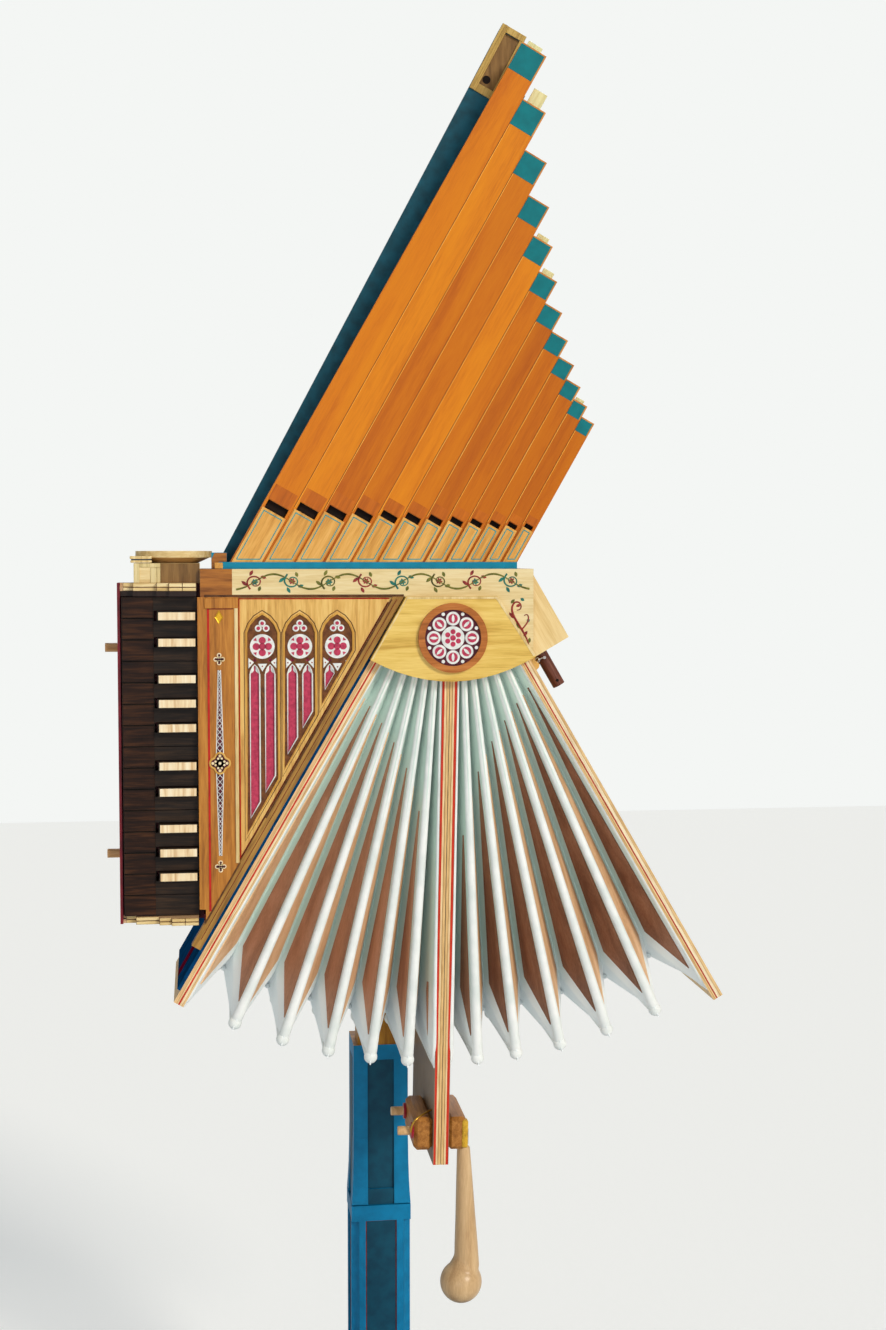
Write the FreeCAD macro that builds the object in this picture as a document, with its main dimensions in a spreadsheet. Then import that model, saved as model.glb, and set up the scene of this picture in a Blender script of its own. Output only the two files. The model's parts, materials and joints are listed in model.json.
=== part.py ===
import FreeCAD, Part

import math
import os
import re
import Sketcher

# A portative organ on a floor stand. A swinging centre board pumps the two fan bellows
# between it and two fixed boards, and a keyboard of two octaves speaks two rows of wooden pipes.
# +X is to the right of the painted front, +Y is away from it, +Z is up. The origin is on the
# floor below the stand's column. Lengths are millimetres and angles are degrees.

SIZES = [
    # floor stand
    ("base_wide", 460), ("base_deep", 470), ("base_thick", 30), ("base_back", 145),
    ("socket_wide", 116), ("socket_tall", 34),
    ("sleeve_wide", 72), ("sleeve_top", 408), ("sleeve_cove", 9),
    ("column_wide", 66), ("column_top", 606), ("column_stop_gap", 0.3),
    ("tenon_wide", 44), ("tenon_long", 190), ("tenon_gap", 0.3),
    ("panel_margin", 17), ("panel_sink", 3), ("panel_rail", 19),
    ("neck_wide", 56), ("neck_thick", 36), ("neck_front", -32), ("saddle_wide", 80),
    # where the instrument stands over the stand
    ("front_plane", -265), ("body_deep", 190), ("apex_x", 53), ("apex_z", 1222.5),
    ("spread_angle", 30.2), ("pivot_z", 1109.7),
    # fan bellows and their boards
    ("board_thick", 11.5), ("left_reach", 580), ("right_reach", 594), ("board_start", 126),
    ("fold_reach", 581), ("fold_start", 128), ("fold_sink", 65), ("fold_crowding", 1.27),
    ("fold_margin", 1.2),
    ("pump_thick", 8.3), ("pump_reach", 575), ("pump_lean", 1.1), ("pump_split", 0.4),
    ("pump_gap", 0.4), ("hub_wide", 24), ("hub_tall", 13), ("hub_end_gap", 0.5),
    ("pin_radius", 5), ("pin_seat", 7), ("running_gap", 0.05),
    ("block_thick", 20.5), ("block_tall", 36), ("block_long", 88), ("block_front", 6),
    ("block_rise", 50), ("dowel_radius", 5), ("dowel_out", 17), ("dowel_sink", 15.7),
    ("dowel_near", 15), ("dowel_spacing", 70), ("felt_radius", 9), ("felt_thick", 3),
    # hanging pump handle
    ("lug_wide", 3), ("lug_out", 9.5), ("lug_tall", 17), ("eye_radius", 1.6), ("eye_wide", 7),
    ("eye_round", 4), ("eye_gap", 0.5), ("eye_sink", 41), ("handle_depth", 60),
    ("neck_start", 8), ("club_top_radius", 6.8), ("club_low_radius", 13.4), ("club_long", 139),
    ("club_lean", 1.6), ("ball_radius", 23.2), ("ball_drop", 164), ("ball_aside", 2.5),
    # case front, left of the bellows
    ("case_left", -209), ("stile_right", -173), ("panel_thick", 6), ("panel_front", -4),
    ("stile_proud", 4), ("backing_thick", 3.8), ("backing_end", 566), ("rail_wide", 10.5),
    ("rail_end", 517), ("rail_front", -7), ("rail_thick", 12), ("batten_wide", 6.5),
    ("batten_low", 824), ("window_wide", 33.6), ("window_first", -148),
    ("window_pitch", 39.5), ("window_spring", 1116), ("window_top", 1136),
    ("window_foot", 7.5), ("tracery_thick", 3), ("tracery_sink", 1.2), ("rose_radius", 13),
    ("rose_high", 1101.3), ("rose_bar", 2.4), ("light_wide", 12), ("light_aside", 8.05),
    ("light_spring", 1078),
    ("light_top", 1090), ("light_low", 5),
    # wind chest
    ("chest_bottom", 1153.5), ("chest_top", 1182.8), ("chest_deep", 115), ("chest_split", -179.2),
    ("chest_left", -212.5), ("chest_right", 141.5), ("chest_wall", 9), ("frieze_thick", 6),
    ("spandrel_gap", 0.2), ("cover_shoulder", 101.2), ("toe_top", 1190.1), ("toe_front", -4),
    ("toe_left", -192.4), ("toe_right", 124), ("wind_hole_radius", 3), ("end_stop_wide", 8),
    ("end_stop_deep", 20), ("end_stop_rise", 10),
    ("box_start", 80), ("box_end", 163), ("box_out", 49), ("box_front", 4), ("box_long", 182),
    # covers over the pivot
    ("cover_thick", 14), ("cover_left", 3.5), ("cover_low_left", -34.6), ("cover_low_z", 1086.7),
    ("cover_right", 142.8), ("cover_right_z", 1089.1), ("cover_belly", 1063.1),
    ("back_cover_thick", 10), ("ring_radius", 37), ("ring_wide", 7), ("ring_thick", 4),
    ("fret_thick", 1.6), ("fret_hole", 6.5), ("fret_ring", 17),
    # pipes
    ("pipe_first", -181.1), ("pipe_wide", 30.2), ("pipe_taper", 0.942), ("pipe_lean", 29.5),
    ("pipe_long", 657.8), ("pipe_wall", 3), ("pipe_depth_ratio", 1.3), ("pipe_joint", 0.3),
    ("foot_base", 20), ("foot_ratio", 1.3), ("cutup_ratio", 0.33), ("lip_ratio", 0.5),
    ("lip_sink", 1.8), ("cap_thick", 2.5), ("cap_margin", 1.4), ("rear_first", -192.4),
    ("rear_wide", 30), ("rear_lean", 28), ("rear_face", 55), ("rear_trim", 6),
    ("tab_wide_ratio", 0.55), ("tab_thick", 2.5), ("tab_long", 26), ("tab_rise_long", 16),
    ("tab_rise_most", 26), ("tab_rise_short", 11), ("tab_rise_least", 6), ("bass_slot_long", 62),
    ("bass_slot_top", 8), ("bass_slot_side", 5),
    # keyboard
    ("key_left", -294.1), ("key_top", 1153.8), ("key_pitch", 22.46), ("key_split", 0.7),
    ("head_long", 33.3), ("key_face", 1), ("key_thick", 16), ("tail_end", -216.2),
    ("sharp_wide", 9.6), ("sharp_rise", 10), ("sharp_start", -257.4), ("sharp_end", -217.5),
    ("arm_end", -199.5), ("arm_front", 8), ("arm_tall", 8), ("key_pivot_x", -205.5),
    ("key_pivot_y", 12.5), ("key_rod_radius", 2.5), ("sticker_natural", -226),
    ("sticker_sharp", -238), ("sticker_radius", 1.5), ("slot_before", 2.2), ("slot_long", 7.2),
    ("pallet_before", 4.5), ("pallet_long", 11.5), ("pallet_tall", 7.4), ("pallet_thick", 3),
    ("pallet_gap", 0.4), ("bed_gap", 10), ("bed_thick", 10), ("bed_right", -182),
    ("bed_clear", 1.5), ("slip_thick", 3), ("slip_gap", 1.5), ("slip_front", 5),
    ("cheek_thick", 8), ("top_cheek_thick", 14), ("cheek_gap", 0.6), ("cheek_right", -216.5),
    ("cheek_back", 10), ("cheek_middle", 0), ("cheek_fore", -7), ("cheek_front", -12),
    ("cheek_step_one", -282), ("cheek_step_two", -257.5), ("cheek_step_three", -244.7),
    ("rod_rest_left", -211), ("rod_rest_right", -200.6), ("rod_seat", 4),
    ("box_wall", 3), ("pallet_box_left", -254), ("pallet_box_right", -212.7),
    ("pallet_box_deep", 26), ("pallet_box_rise", 2), ("peg_radius", 4.8), ("peg_out", 14),
    ("peg_high", 1099.7),
    ("peg_low", 879.7),
    # hand rest above the keyboard
    ("rest_x", -240), ("rest_y", 47), ("rest_radius", 40.5), ("rest_thick", 7),
    ("rest_top", 1201.8), ("rest_stem_low", 25), ("rest_stem_high", 18), ("rest_box_left", -281),
    ("rest_box_front", 2), ("rest_box_deep", 80), ("rest_box_top", 1189),
    # bellows catch on the right board
    ("catch_start", 163.5), ("catch_end", 186), ("catch_thick", 10.3), ("catch_front", 66),
    ("catch_long", 28), ("ear_thick", 3.6), ("ear_out", 21), ("catch_pin_u", 179),
    ("catch_pin_v", 30), ("catch_pin_radius", 1.6), ("toggle_radius", 7.1),
    ("toggle_above", 6), ("toggle_below", 36),
]

# Semitones that have a raised key, and how far each stands from the joint of its naturals.
SHARP_AFTER_NATURAL = {0: 2.5, 1: -2.6, 3: 4.0, 4: 0.8, 5: -2.4}
NATURALS_PER_OCTAVE = 7
NATURALS = 15
SEMITONES = 12
# The lights of each window, to the left and right of its middle. The shortest has room for one.
WINDOW_LIGHTS = ((-1, 1), (-1, 1), (-1,))
# Points of a window's arch: how far aside of its middle and how far up from the spring, as shares.
ARCH = ((0.40, 0.42), (0.23, 0.76))
FRONT_PIPES = 12
REAR_PIPES = 13
FOLDS = 6
# Front pipes whose tuning tab stands above the pipe, and by how much.
TAB_RISE = {0: "tab_rise_long", 1: "tab_rise_most", 4: "tab_rise_short", 5: "tab_rise_short",
            10: "tab_rise_least"}

doc = FreeCAD.newDocument("portative_organ")
sheet = doc.addObject("Spreadsheet::Sheet", "Sizes")
for row, (alias, value) in enumerate(SIZES, 1):
    sheet.set("A%d" % row, alias)
    sheet.set("B%d" % row, str(value))
    sheet.setAlias("B%d" % row, alias)
doc.recompute()

ALIASES = {alias for alias, value in SIZES}
EXPORTED = []


def size(alias):
    """The value that a named cell of the sheet holds."""
    return float(sheet.get(alias))


def linked(text):
    """An expression in which each size's name points at its cell."""
    return re.sub(r"[a-z_]+", lambda w: ("Sizes." if w.group() in ALIASES else "") + w.group(), str(text))


def bind(item, **expressions):
    """Ties properties to the sheet; a double underscore in a name stands for a dot."""
    for name, text in expressions.items():
        item.setExpression(name.replace("__", "."), linked(text))
    return item


def place(item, x=0, y=0, z=0):
    """Ties where an item stands to the sheet."""
    return bind(item, Placement__Base__x=x, Placement__Base__y=y, Placement__Base__z=z)


def turn(item, axis, angle):
    """Turns an item about one of its own axes by an angle that may name a size."""
    item.Placement.Rotation = FreeCAD.Rotation(FreeCAD.Vector(*axis), 1)
    return bind(item, Placement__Rotation__Angle=angle)


def keep(item, label):
    """Gives a finished sub-part its name and puts it on the list to be written."""
    item.Label = label
    EXPORTED.append(item)
    return item


def block(name, x, y, z, wide, deep, tall):
    """A box from its lowest corner."""
    item = doc.addObject("Part::Box", name)
    bind(item, Length=wide, Width=deep, Height=tall)
    return place(item, x, y, z)


def rod(name, x, y, z, radius, length, axis="Z"):
    """A round bar that starts at a point and runs along an axis."""
    item = doc.addObject("Part::Cylinder", name)
    bind(item, Radius=radius, Height=length)
    place(item, x, y, z)
    if axis == "Y":
        item.Placement.Rotation = FreeCAD.Rotation(FreeCAD.Vector(1, 0, 0), -90)
    if axis == "X":
        item.Placement.Rotation = FreeCAD.Rotation(FreeCAD.Vector(0, 1, 0), 90)
    return item


def cut(name, base, tool):
    """One shape with another taken out of it."""
    item = doc.addObject("Part::Cut", name)
    item.Base = base
    item.Tool = tool
    return item


def fuse(name, *shapes):
    """Shapes joined into one."""
    item = doc.addObject("Part::MultiFuse", name)
    item.Shapes = list(shapes)
    return item


def group(name, *shapes):
    """Like pieces that share one node."""
    item = doc.addObject("Part::Compound", name)
    item.Links = list(shapes)
    return item


def outline_pad(name, corners, front, thick, plane="XZ_Plane"):
    """A flat board: a sketched outline, its corners tied to the sheet, padded away from the front.

    Corners are pairs of expressions. On the XZ plane they are x and z and the pad runs along +Y,
    on the XY plane they are x and y and the pad runs along +Z."""
    body = doc.addObject("PartDesign::Body", name)
    sketch = body.newObject("Sketcher::SketchObject", name + "_outline")
    origin_plane = [f for f in body.Origin.OriginFeatures if f.Role == plane][0]
    sketch.AttachmentSupport = [(origin_plane, "")]
    sketch.MapMode = "FlatFace"
    probe = doc.addObject("App::FeaturePython", name + "_probe")
    points = []
    for i, (first, second) in enumerate(corners):
        for axis, text in (("u", first), ("v", second)):
            probe.addProperty("App::PropertyFloat", "%s%d" % (axis, i))
            probe.setExpression("%s%d" % (axis, i), linked(text))
    probe.recompute()
    for i in range(len(corners)):
        points.append((getattr(probe, "u%d" % i), getattr(probe, "v%d" % i)))
    doc.removeObject(probe.Name)
    for i, point in enumerate(points):
        following = points[(i + 1) % len(points)]
        start = FreeCAD.Vector(point[0], point[1], 0)
        end = FreeCAD.Vector(following[0], following[1], 0)
        sketch.addGeometry(Part.LineSegment(start, end), False)
    for i in range(len(points)):
        sketch.addConstraint(Sketcher.Constraint("Coincident", i, 2, (i + 1) % len(points), 1))
    for i, (first, second) in enumerate(corners):
        for kind, value, text in (("DistanceX", points[i][0], first), ("DistanceY", points[i][1], second)):
            number = sketch.addConstraint(Sketcher.Constraint(kind, -1, 1, i, 1, value))
            sketch.setExpression("Constraints[%d]" % number, linked(text))
    pad = body.newObject("PartDesign::Pad", name + "_pad")
    pad.Profile = sketch
    pad.Reversed = plane == "XZ_Plane"
    bind(pad, Length=thick)
    if plane == "XZ_Plane":
        return place(body, 0, front, 0)
    return place(body, 0, 0, front)


def made(label, shape):
    """A sub-part whose shape comes from Part's own functions."""
    item = doc.addObject("Part::Feature", label)
    item.Shape = shape
    item.Placement = FreeCAD.Placement()
    return keep(item, label)


def fan_box(name, angle, near, far, side, thick, front, deep):
    """A box that lies along a line from the bellows' apex.

    It runs from near to far along the line, from side to side + thick across it."""
    item = doc.addObject("Part::Box", name)
    bind(item, Length=thick, Width=deep, Height="(%s) - (%s)" % (far, near))
    turn(item, (0, 1, 0), angle)
    x = "apex_x + (%s) * cos(%s) - (%s) * sin(%s)" % (side, angle, far, angle)
    z = "apex_z - (%s) * sin(%s) - (%s) * cos(%s)" % (side, angle, far, angle)
    return place(item, x, front, z)


def slant_x(z, offset):
    """Where the left slant, moved outward by an offset, is at a height."""
    return "(apex_x - tan(spread_angle) * (apex_z - (%s)) - (%s) / cos(spread_angle))" % (z, offset)


def slant_z(x, offset):
    """How high the left slant, moved outward by an offset, is at a given x."""
    return "(apex_z - (apex_x - (%s) - (%s) / cos(spread_angle)) / tan(spread_angle))" % (x, offset)


def slant_point(along, offset):
    """The point at a distance along the left slant and an offset outward from it."""
    x = "apex_x - (%s) * sin(spread_angle) - (%s) * cos(spread_angle)" % (along, offset)
    z = "apex_z - (%s) * cos(spread_angle) + (%s) * sin(spread_angle)" % (along, offset)
    return x, z


def tread(depth):
    """A y that is measured from the plane of the painted front."""
    return "front_plane + (%s)" % depth


# ---- floor stand ----
plinth = block("plinth", "-base_wide / 2", "base_back - base_deep", 0, "base_wide", "base_deep", "base_thick")
socket = block("socket", "-socket_wide / 2", "-socket_wide / 2", "base_thick", "socket_wide", "socket_wide",
               "socket_tall")
socket_step = block("socket_step", "-socket_wide / 2 - 14", "-socket_wide / 2 - 14", "base_thick",
                    "socket_wide + 28", "socket_wide + 28", "socket_tall / 3")
socket_hole = block("socket_hole", "-sleeve_wide / 2", "-sleeve_wide / 2", "base_thick", "sleeve_wide",
                    "sleeve_wide", "socket_tall")
keep(cut("base_cut", fuse("base_blank", plinth, socket, socket_step), socket_hole), "stand_base")

sleeve_tools = [block("sleeve_bore", "-tenon_wide / 2 - tenon_gap", "-tenon_wide / 2 - tenon_gap",
                      "sleeve_top - tenon_long - 10", "tenon_wide + 2 * tenon_gap",
                      "tenon_wide + 2 * tenon_gap",
                      "tenon_long + 11")]
sleeve_low = "base_thick + socket_tall + panel_rail"
for name, x, y in (("front", 0, -1), ("back", 0, 1), ("left", -1, 0), ("right", 1, 0)):
    panel_x = "sleeve_wide / 2 * %d - (sleeve_wide / 2 - panel_margin) * %d - panel_sink * %d" % (
        x, 1 - abs(x), 1 if x > 0 else 0)
    panel_y = "sleeve_wide / 2 * %d - (sleeve_wide / 2 - panel_margin) * %d - panel_sink * %d" % (
        y, 1 - abs(y), 1 if y > 0 else 0)
    wide = "panel_sink" if x else "sleeve_wide - 2 * panel_margin"
    deep = "panel_sink" if y else "sleeve_wide - 2 * panel_margin"
    sleeve_tools.append(block("sleeve_panel_" + name, panel_x, panel_y, sleeve_low, wide, deep,
                              "sleeve_top - panel_rail - (%s)" % sleeve_low))
for name, x, y in (("a", -1, -1), ("b", 1, -1), ("c", -1, 1), ("d", 1, 1)):
    sleeve_tools.append(rod("sleeve_cove_" + name, "sleeve_wide / 2 * %d" % x, "sleeve_wide / 2 * %d" % y,
                            sleeve_low, "sleeve_cove", "sleeve_top - panel_rail - (%s)" % sleeve_low))
sleeve = block("sleeve_blank", "-sleeve_wide / 2", "-sleeve_wide / 2", "base_thick", "sleeve_wide",
               "sleeve_wide", "sleeve_top - base_thick")
keep(cut("sleeve_cut", sleeve, fuse("sleeve_tools", *sleeve_tools)), "stand_sleeve")

# ---- column that slides in the stand and carries the instrument ----
column_low = "sleeve_top + column_stop_gap"
column = block("column_blank", "-column_wide / 2", "-column_wide / 2", column_low, "column_wide",
               "column_wide", "column_top - (%s)" % column_low)
column_tools = []
for name, y in (("front", "-column_wide / 2"), ("back", "column_wide / 2 - panel_sink")):
    column_tools.append(block("column_panel_" + name, "panel_margin - column_wide / 2", y,
                              column_low + " + panel_rail", "column_wide - 2 * panel_margin", "panel_sink",
                              "column_top - 2 * panel_rail - (%s)" % column_low))
tenon = block("tenon", "-tenon_wide / 2", "-tenon_wide / 2", column_low + " - tenon_long", "tenon_wide",
              "tenon_wide", "tenon_long")
neck = block("neck", "-neck_wide / 2", "neck_front", "column_top", "neck_wide", "neck_thick",
             "chest_top - column_top")
saddle = block("saddle", "-saddle_wide / 2", tread("chest_deep"), "chest_bottom", "saddle_wide",
               "neck_front - (front_plane + chest_deep)", "chest_top - chest_bottom")
column_body = cut("column_cut", column, fuse("column_tools", *column_tools))
keep(fuse("column_all", column_body, tenon, neck, saddle), "stand_column")

# ---- wind chest, its painted front and the toe board ----
chest = block("chest_blank", "chest_left", tread(0), "chest_bottom", "chest_right - chest_left", "chest_deep",
              "chest_top - chest_bottom")
end_block = block("chest_end", "chest_left", tread("-frieze_thick"), "chest_bottom",
                  "chest_split - chest_left", "frieze_thick", "chest_top - chest_bottom")
wind_way = block("wind_way", "toe_left + chest_wall", tread("chest_wall"), "chest_bottom + chest_wall",
                 "toe_right - toe_left - 2 * chest_wall", "chest_deep - 2 * chest_wall",
                 "chest_top - chest_bottom")
rod_seat = rod("rod_seat", "key_pivot_x", tread("key_pivot_y"), "chest_bottom", "key_rod_radius", "rod_seat")
chest_all = fuse("chest_all", chest, end_block)
keep(cut("chest_cut", chest_all, fuse("chest_tools", wind_way, rod_seat)), "wind_chest")

# The spandrel's edge runs beside the pivot cover's slanting one.
cover_slope = "(chest_bottom - cover_right_z) / (cover_right - cover_shoulder)"
cover_drop = "%s * (chest_right - cover_shoulder)" % cover_slope
frieze = outline_pad("frieze", [
    ("chest_split", "chest_bottom"), ("cover_shoulder + spandrel_gap", "chest_bottom"),
    ("chest_right", "chest_bottom - %s + spandrel_gap" % cover_drop), ("chest_right", "chest_top"),
    ("chest_split", "chest_top")], tread("-frieze_thick"), "frieze_thick")
keep(frieze, "frieze_board")

# ---- pipes ----
FRONT = size("front_plane")
TOE = size("toe_top")


def pipe_width(first, number):
    """Each pipe is a fixed part narrower than the one before it."""
    return first * size("pipe_taper") ** number


def pipe_feet(first_x, first_wide, lean, count):
    """The middle of each pipe's foot on the toe board, and its width across the grain."""
    feet = []
    x = first_x
    for number in range(count):
        wide = pipe_width(first_wide, number)
        level = wide / math.cos(math.radians(lean))
        feet.append((x + level / 2, wide))
        x += level
    return feet


def speaking_length(semitone):
    """An octave halves the pipe."""
    return size("pipe_long") * 2 ** (-semitone / SEMITONES)


def slanted(foot_x, lean, low, high, left, right, y, deep):
    """A board that leans with a pipe: low and high run along the pipe, left and right across it."""
    along = FreeCAD.Vector(math.sin(math.radians(lean)), 0, math.cos(math.radians(lean)))
    across = FreeCAD.Vector(math.cos(math.radians(lean)), 0, -math.sin(math.radians(lean)))
    foot = FreeCAD.Vector(foot_x, y, TOE)
    corners = []
    for length, side in ((low, left), (low, right), (high, right), (high, left)):
        if length is None:
            corners.append(foot + across * side + along * (side * math.tan(math.radians(lean))))
        else:
            corners.append(foot + along * length + across * side)
    face = Part.Face(Part.makePolygon(corners + corners[:1]))
    return face.extrude(FreeCAD.Vector(0, deep, 0))


def pipe_bore(foot_x, lean, y, top):
    """The wind way up through a pipe's foot."""
    along = FreeCAD.Vector(math.sin(math.radians(lean)), 0, math.cos(math.radians(lean)))
    start = FreeCAD.Vector(foot_x, y, TOE) - along * 5
    return Part.makeCylinder(size("wind_hole_radius"), top + 5, start, along)


def lip(foot_x, lean, low, high, half, y, sink, inward):
    """The wedge planed off a pipe's front above its mouth."""
    along = FreeCAD.Vector(math.sin(math.radians(lean)), 0, math.cos(math.radians(lean)))
    across = FreeCAD.Vector(math.cos(math.radians(lean)), 0, -math.sin(math.radians(lean)))
    foot = FreeCAD.Vector(foot_x, y, TOE)
    out = FreeCAD.Vector(0, -inward, 0)
    start = foot + along * low - across * half
    corners = [start + out, start - out * sink, foot + along * high - across * half + out * 0.01,
               foot + along * high - across * half + out]
    face = Part.Face(Part.makePolygon(corners + corners[:1]))
    return face.extrude(across * (2 * half))


def pipe(foot, lean, semitone, y, trim, mouth_forward, tab):
    """One stopped-foot wooden pipe: four walls, a foot with its wind way, a mouth and a lip."""
    foot_x, wide = foot
    long = speaking_length(semitone) - trim
    deep = wide * size("pipe_depth_ratio")
    wall = size("pipe_wall")
    half = (wide - size("pipe_joint")) / 2
    mouth = size("foot_base") + size("foot_ratio") * wide
    cutup = size("cutup_ratio") * wide
    lip_high = mouth + cutup + size("lip_ratio") * wide
    body = slanted(foot_x, lean, None, long, -half, half, y, deep)
    inside = half - wall
    hollow = slanted(foot_x, lean, mouth - wall, long + 5, -inside, inside, y + wall, deep - 2 * wall)
    body = body.cut(hollow)
    body = body.cut(pipe_bore(foot_x, lean, y + deep / 2, mouth))
    face = y if mouth_forward else y + deep
    inward = 1 if mouth_forward else -1
    opening_y = face - 1 if mouth_forward else face - wall - 1
    body = body.cut(slanted(foot_x, lean, mouth, mouth + cutup, -inside, inside, opening_y, wall + 2))
    lip_cut = lip(foot_x, lean, mouth + cutup - 0.01, lip_high, inside, face, size("lip_sink"), inward)
    body = body.cut(lip_cut)
    if tab:
        tab_half = wide * size("tab_wide_ratio") / 2
        tab_y = y + deep - wall - size("tab_thick")
        body = body.fuse(slanted(foot_x, lean, long - size("tab_long"), long + tab, -tab_half, tab_half,
                                 tab_y, size("tab_thick")))
    return body


def cap(foot, lean, face, mouth_forward):
    """The board over a pipe's wind way, from its foot to the mouth."""
    foot_x, wide = foot
    half = wide / 2 - size("cap_margin")
    mouth = size("foot_base") + size("foot_ratio") * wide
    y = face - size("cap_thick") if mouth_forward else face
    return slanted(foot_x, lean, None, mouth, -half, half, y, size("cap_thick"))


front_feet = pipe_feet(size("pipe_first"), size("pipe_wide"), size("pipe_lean"), FRONT_PIPES)
rear_feet = pipe_feet(size("rear_first"), size("rear_wide"), size("rear_lean"), REAR_PIPES)
rear_y = FRONT + size("rear_face")

made("front_pipes", Part.makeCompound([
    pipe(foot, size("pipe_lean"), 2 * i + 1, FRONT, 0, True, size(TAB_RISE[i]) if i in TAB_RISE else 0)
    for i, foot in enumerate(front_feet)]))

rear_solids = []
for i, foot in enumerate(rear_feet):
    solid = pipe(foot, size("rear_lean"), 2 * i, rear_y, size("rear_trim"), False, 0)
    if i == 0:
        slot_top = speaking_length(0) - size("rear_trim") - size("bass_slot_top")
        slot_half = foot[1] / 2 - size("bass_slot_side")
        solid = solid.cut(slanted(foot[0], size("rear_lean"), slot_top - size("bass_slot_long"), slot_top,
                                  -slot_half, slot_half, rear_y - 1, size("pipe_wall") + 2))
    rear_solids.append(solid)
made("rear_pipes", Part.makeCompound(rear_solids))

caps = [cap(foot, size("pipe_lean"), FRONT, True) for foot in front_feet]
for foot in rear_feet:
    caps.append(cap(foot, size("rear_lean"), rear_y + foot[1] * size("pipe_depth_ratio"), False))
made("pipe_caps", Part.makeCompound(caps))

# The toe board's wind holes stand under the feet of both rows.
toe = block("toe_blank", "toe_left", tread("toe_front"), "chest_top", "toe_right - toe_left",
            "chest_deep - toe_front", "toe_top - chest_top")
stop_block = block("stop_block", "toe_left - end_stop_wide", tread(0), "chest_top", "end_stop_wide",
                   "end_stop_deep", "toe_top - chest_top")
stop_curl = block("stop_curl", "toe_left - end_stop_wide", tread(0), "toe_top", "end_stop_wide * 2",
                  "end_stop_deep", "end_stop_rise")
holes = []
for i, foot in enumerate(front_feet):
    depth = foot[1] * size("pipe_depth_ratio") / 2
    holes.append(rod("front_hole_%d" % i, foot[0], tread(depth), "chest_top - 1", "wind_hole_radius",
                     "toe_top"))
for i, foot in enumerate(rear_feet):
    depth = size("rear_face") + foot[1] * size("pipe_depth_ratio") / 2
    holes.append(rod("rear_hole_%d" % i, foot[0], tread(depth), "chest_top - 1", "wind_hole_radius",
                     "toe_top"))
keep(cut("toe_cut", fuse("toe_all", toe, stop_block, stop_curl), fuse("toe_holes", *holes)), "toe_board")

# ---- covers over the pump pivot ----


def cover_corners():
    """The cover's outline: straight shoulders and a belly that is an arc about the apex."""
    corners = [("cover_left", "chest_bottom"), ("cover_low_left", "cover_low_z")]
    for step in range(1, 12):
        part = step / 12
        x = "cover_low_left + (cover_right - cover_low_left) * %.5f" % part
        bulge = "(cover_low_z + (cover_right_z - cover_low_z) * %.5f)" % part
        drop = "((cover_low_z + cover_right_z) / 2 - cover_belly) * %.5f" % (1 - (2 * part - 1) ** 2)
        corners.append((x, "%s - %s" % (bulge, drop)))
    corners += [("cover_right", "cover_right_z"), ("cover_shoulder", "chest_bottom")]
    return corners


cover = outline_pad("cover", cover_corners(), tread("-cover_thick"), "cover_thick")
pin_seat = rod("cover_seat", "apex_x", tread("-pin_seat"), "pivot_z", "pin_radius", "pin_seat + 1", "Y")
keep(cut("cover_cut", cover, pin_seat), "hinge_cover")
back_cover = outline_pad("back_blank", cover_corners(), tread("body_deep"), "back_cover_thick")
back_seat = rod("back_seat", "apex_x", tread("body_deep - 1"), "pivot_z", "pin_radius", "pin_seat + 1", "Y")
keep(cut("back_cut", back_cover, back_seat), "back_cover")
keep(rod("pin_blank", "apex_x", tread("-pin_seat"), "pivot_z", "pin_radius", "body_deep + 2 * pin_seat", "Y"),
     "hinge_pin")

ring = rod("ring_blank", "apex_x", tread("-cover_thick - ring_thick"), "pivot_z", "ring_radius", "ring_thick",
           "Y")
ring_hole = rod("ring_hole", "apex_x", tread("-cover_thick - ring_thick - 1"), "pivot_z",
                "ring_radius - ring_wide", "ring_thick + 2", "Y")
fret = rod("fret_blank", "apex_x", tread("-cover_thick - fret_thick"), "pivot_z",
           "ring_radius - ring_wide / 2", "fret_thick", "Y")
fret_holes = []
for i in range(6):
    hole_x = "apex_x + fret_ring * sin(%d)" % (60 * i)
    hole_z = "pivot_z + fret_ring * cos(%d)" % (60 * i)
    fret_holes.append(rod("fret_hole_%d" % i, hole_x, tread("-cover_thick - fret_thick - 1"), hole_z,
                          "fret_hole", "fret_thick + 2", "Y"))
fret_cut = cut("fret_cut", fret, fuse("fret_tools", *fret_holes))
keep(fuse("rosette_all", cut("ring_cut", ring, ring_hole), fret_cut), "rosette")

# ---- fixed boards of the bellows ----
keep(fan_box("left_board", "spread_angle", "board_start", "left_reach", "-board_thick / 2", "board_thick",
             tread(0), "body_deep"), "left_bellows_board")
keep(fan_box("right_board", "-spread_angle", "board_start", "right_reach", "-board_thick / 2", "board_thick",
             tread(0), "body_deep"), "right_bellows_board")
keep(fan_box("backing", "spread_angle", "board_start", "backing_end", "-board_thick / 2 - backing_thick",
             "backing_thick", tread(0), "body_deep"), "backing_board")

# ---- painted front beside the left board ----
inner = "board_thick / 2 + backing_thick"
outer = "board_thick / 2 + backing_thick + rail_wide"
keep(outline_pad("rail", [
    (slant_x("chest_bottom", outer), "chest_bottom"), slant_point("rail_end", outer),
    slant_point("rail_end", inner), (slant_x("chest_bottom", inner), "chest_bottom")],
    tread("rail_front"), "rail_thick"), "diagonal_rail")

panel = outline_pad("panel", [
    ("case_left", "chest_bottom"), ("case_left", slant_z("case_left", outer)),
    (slant_x("chest_bottom", outer), "chest_bottom")], tread("panel_front"), "panel_thick")


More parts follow.
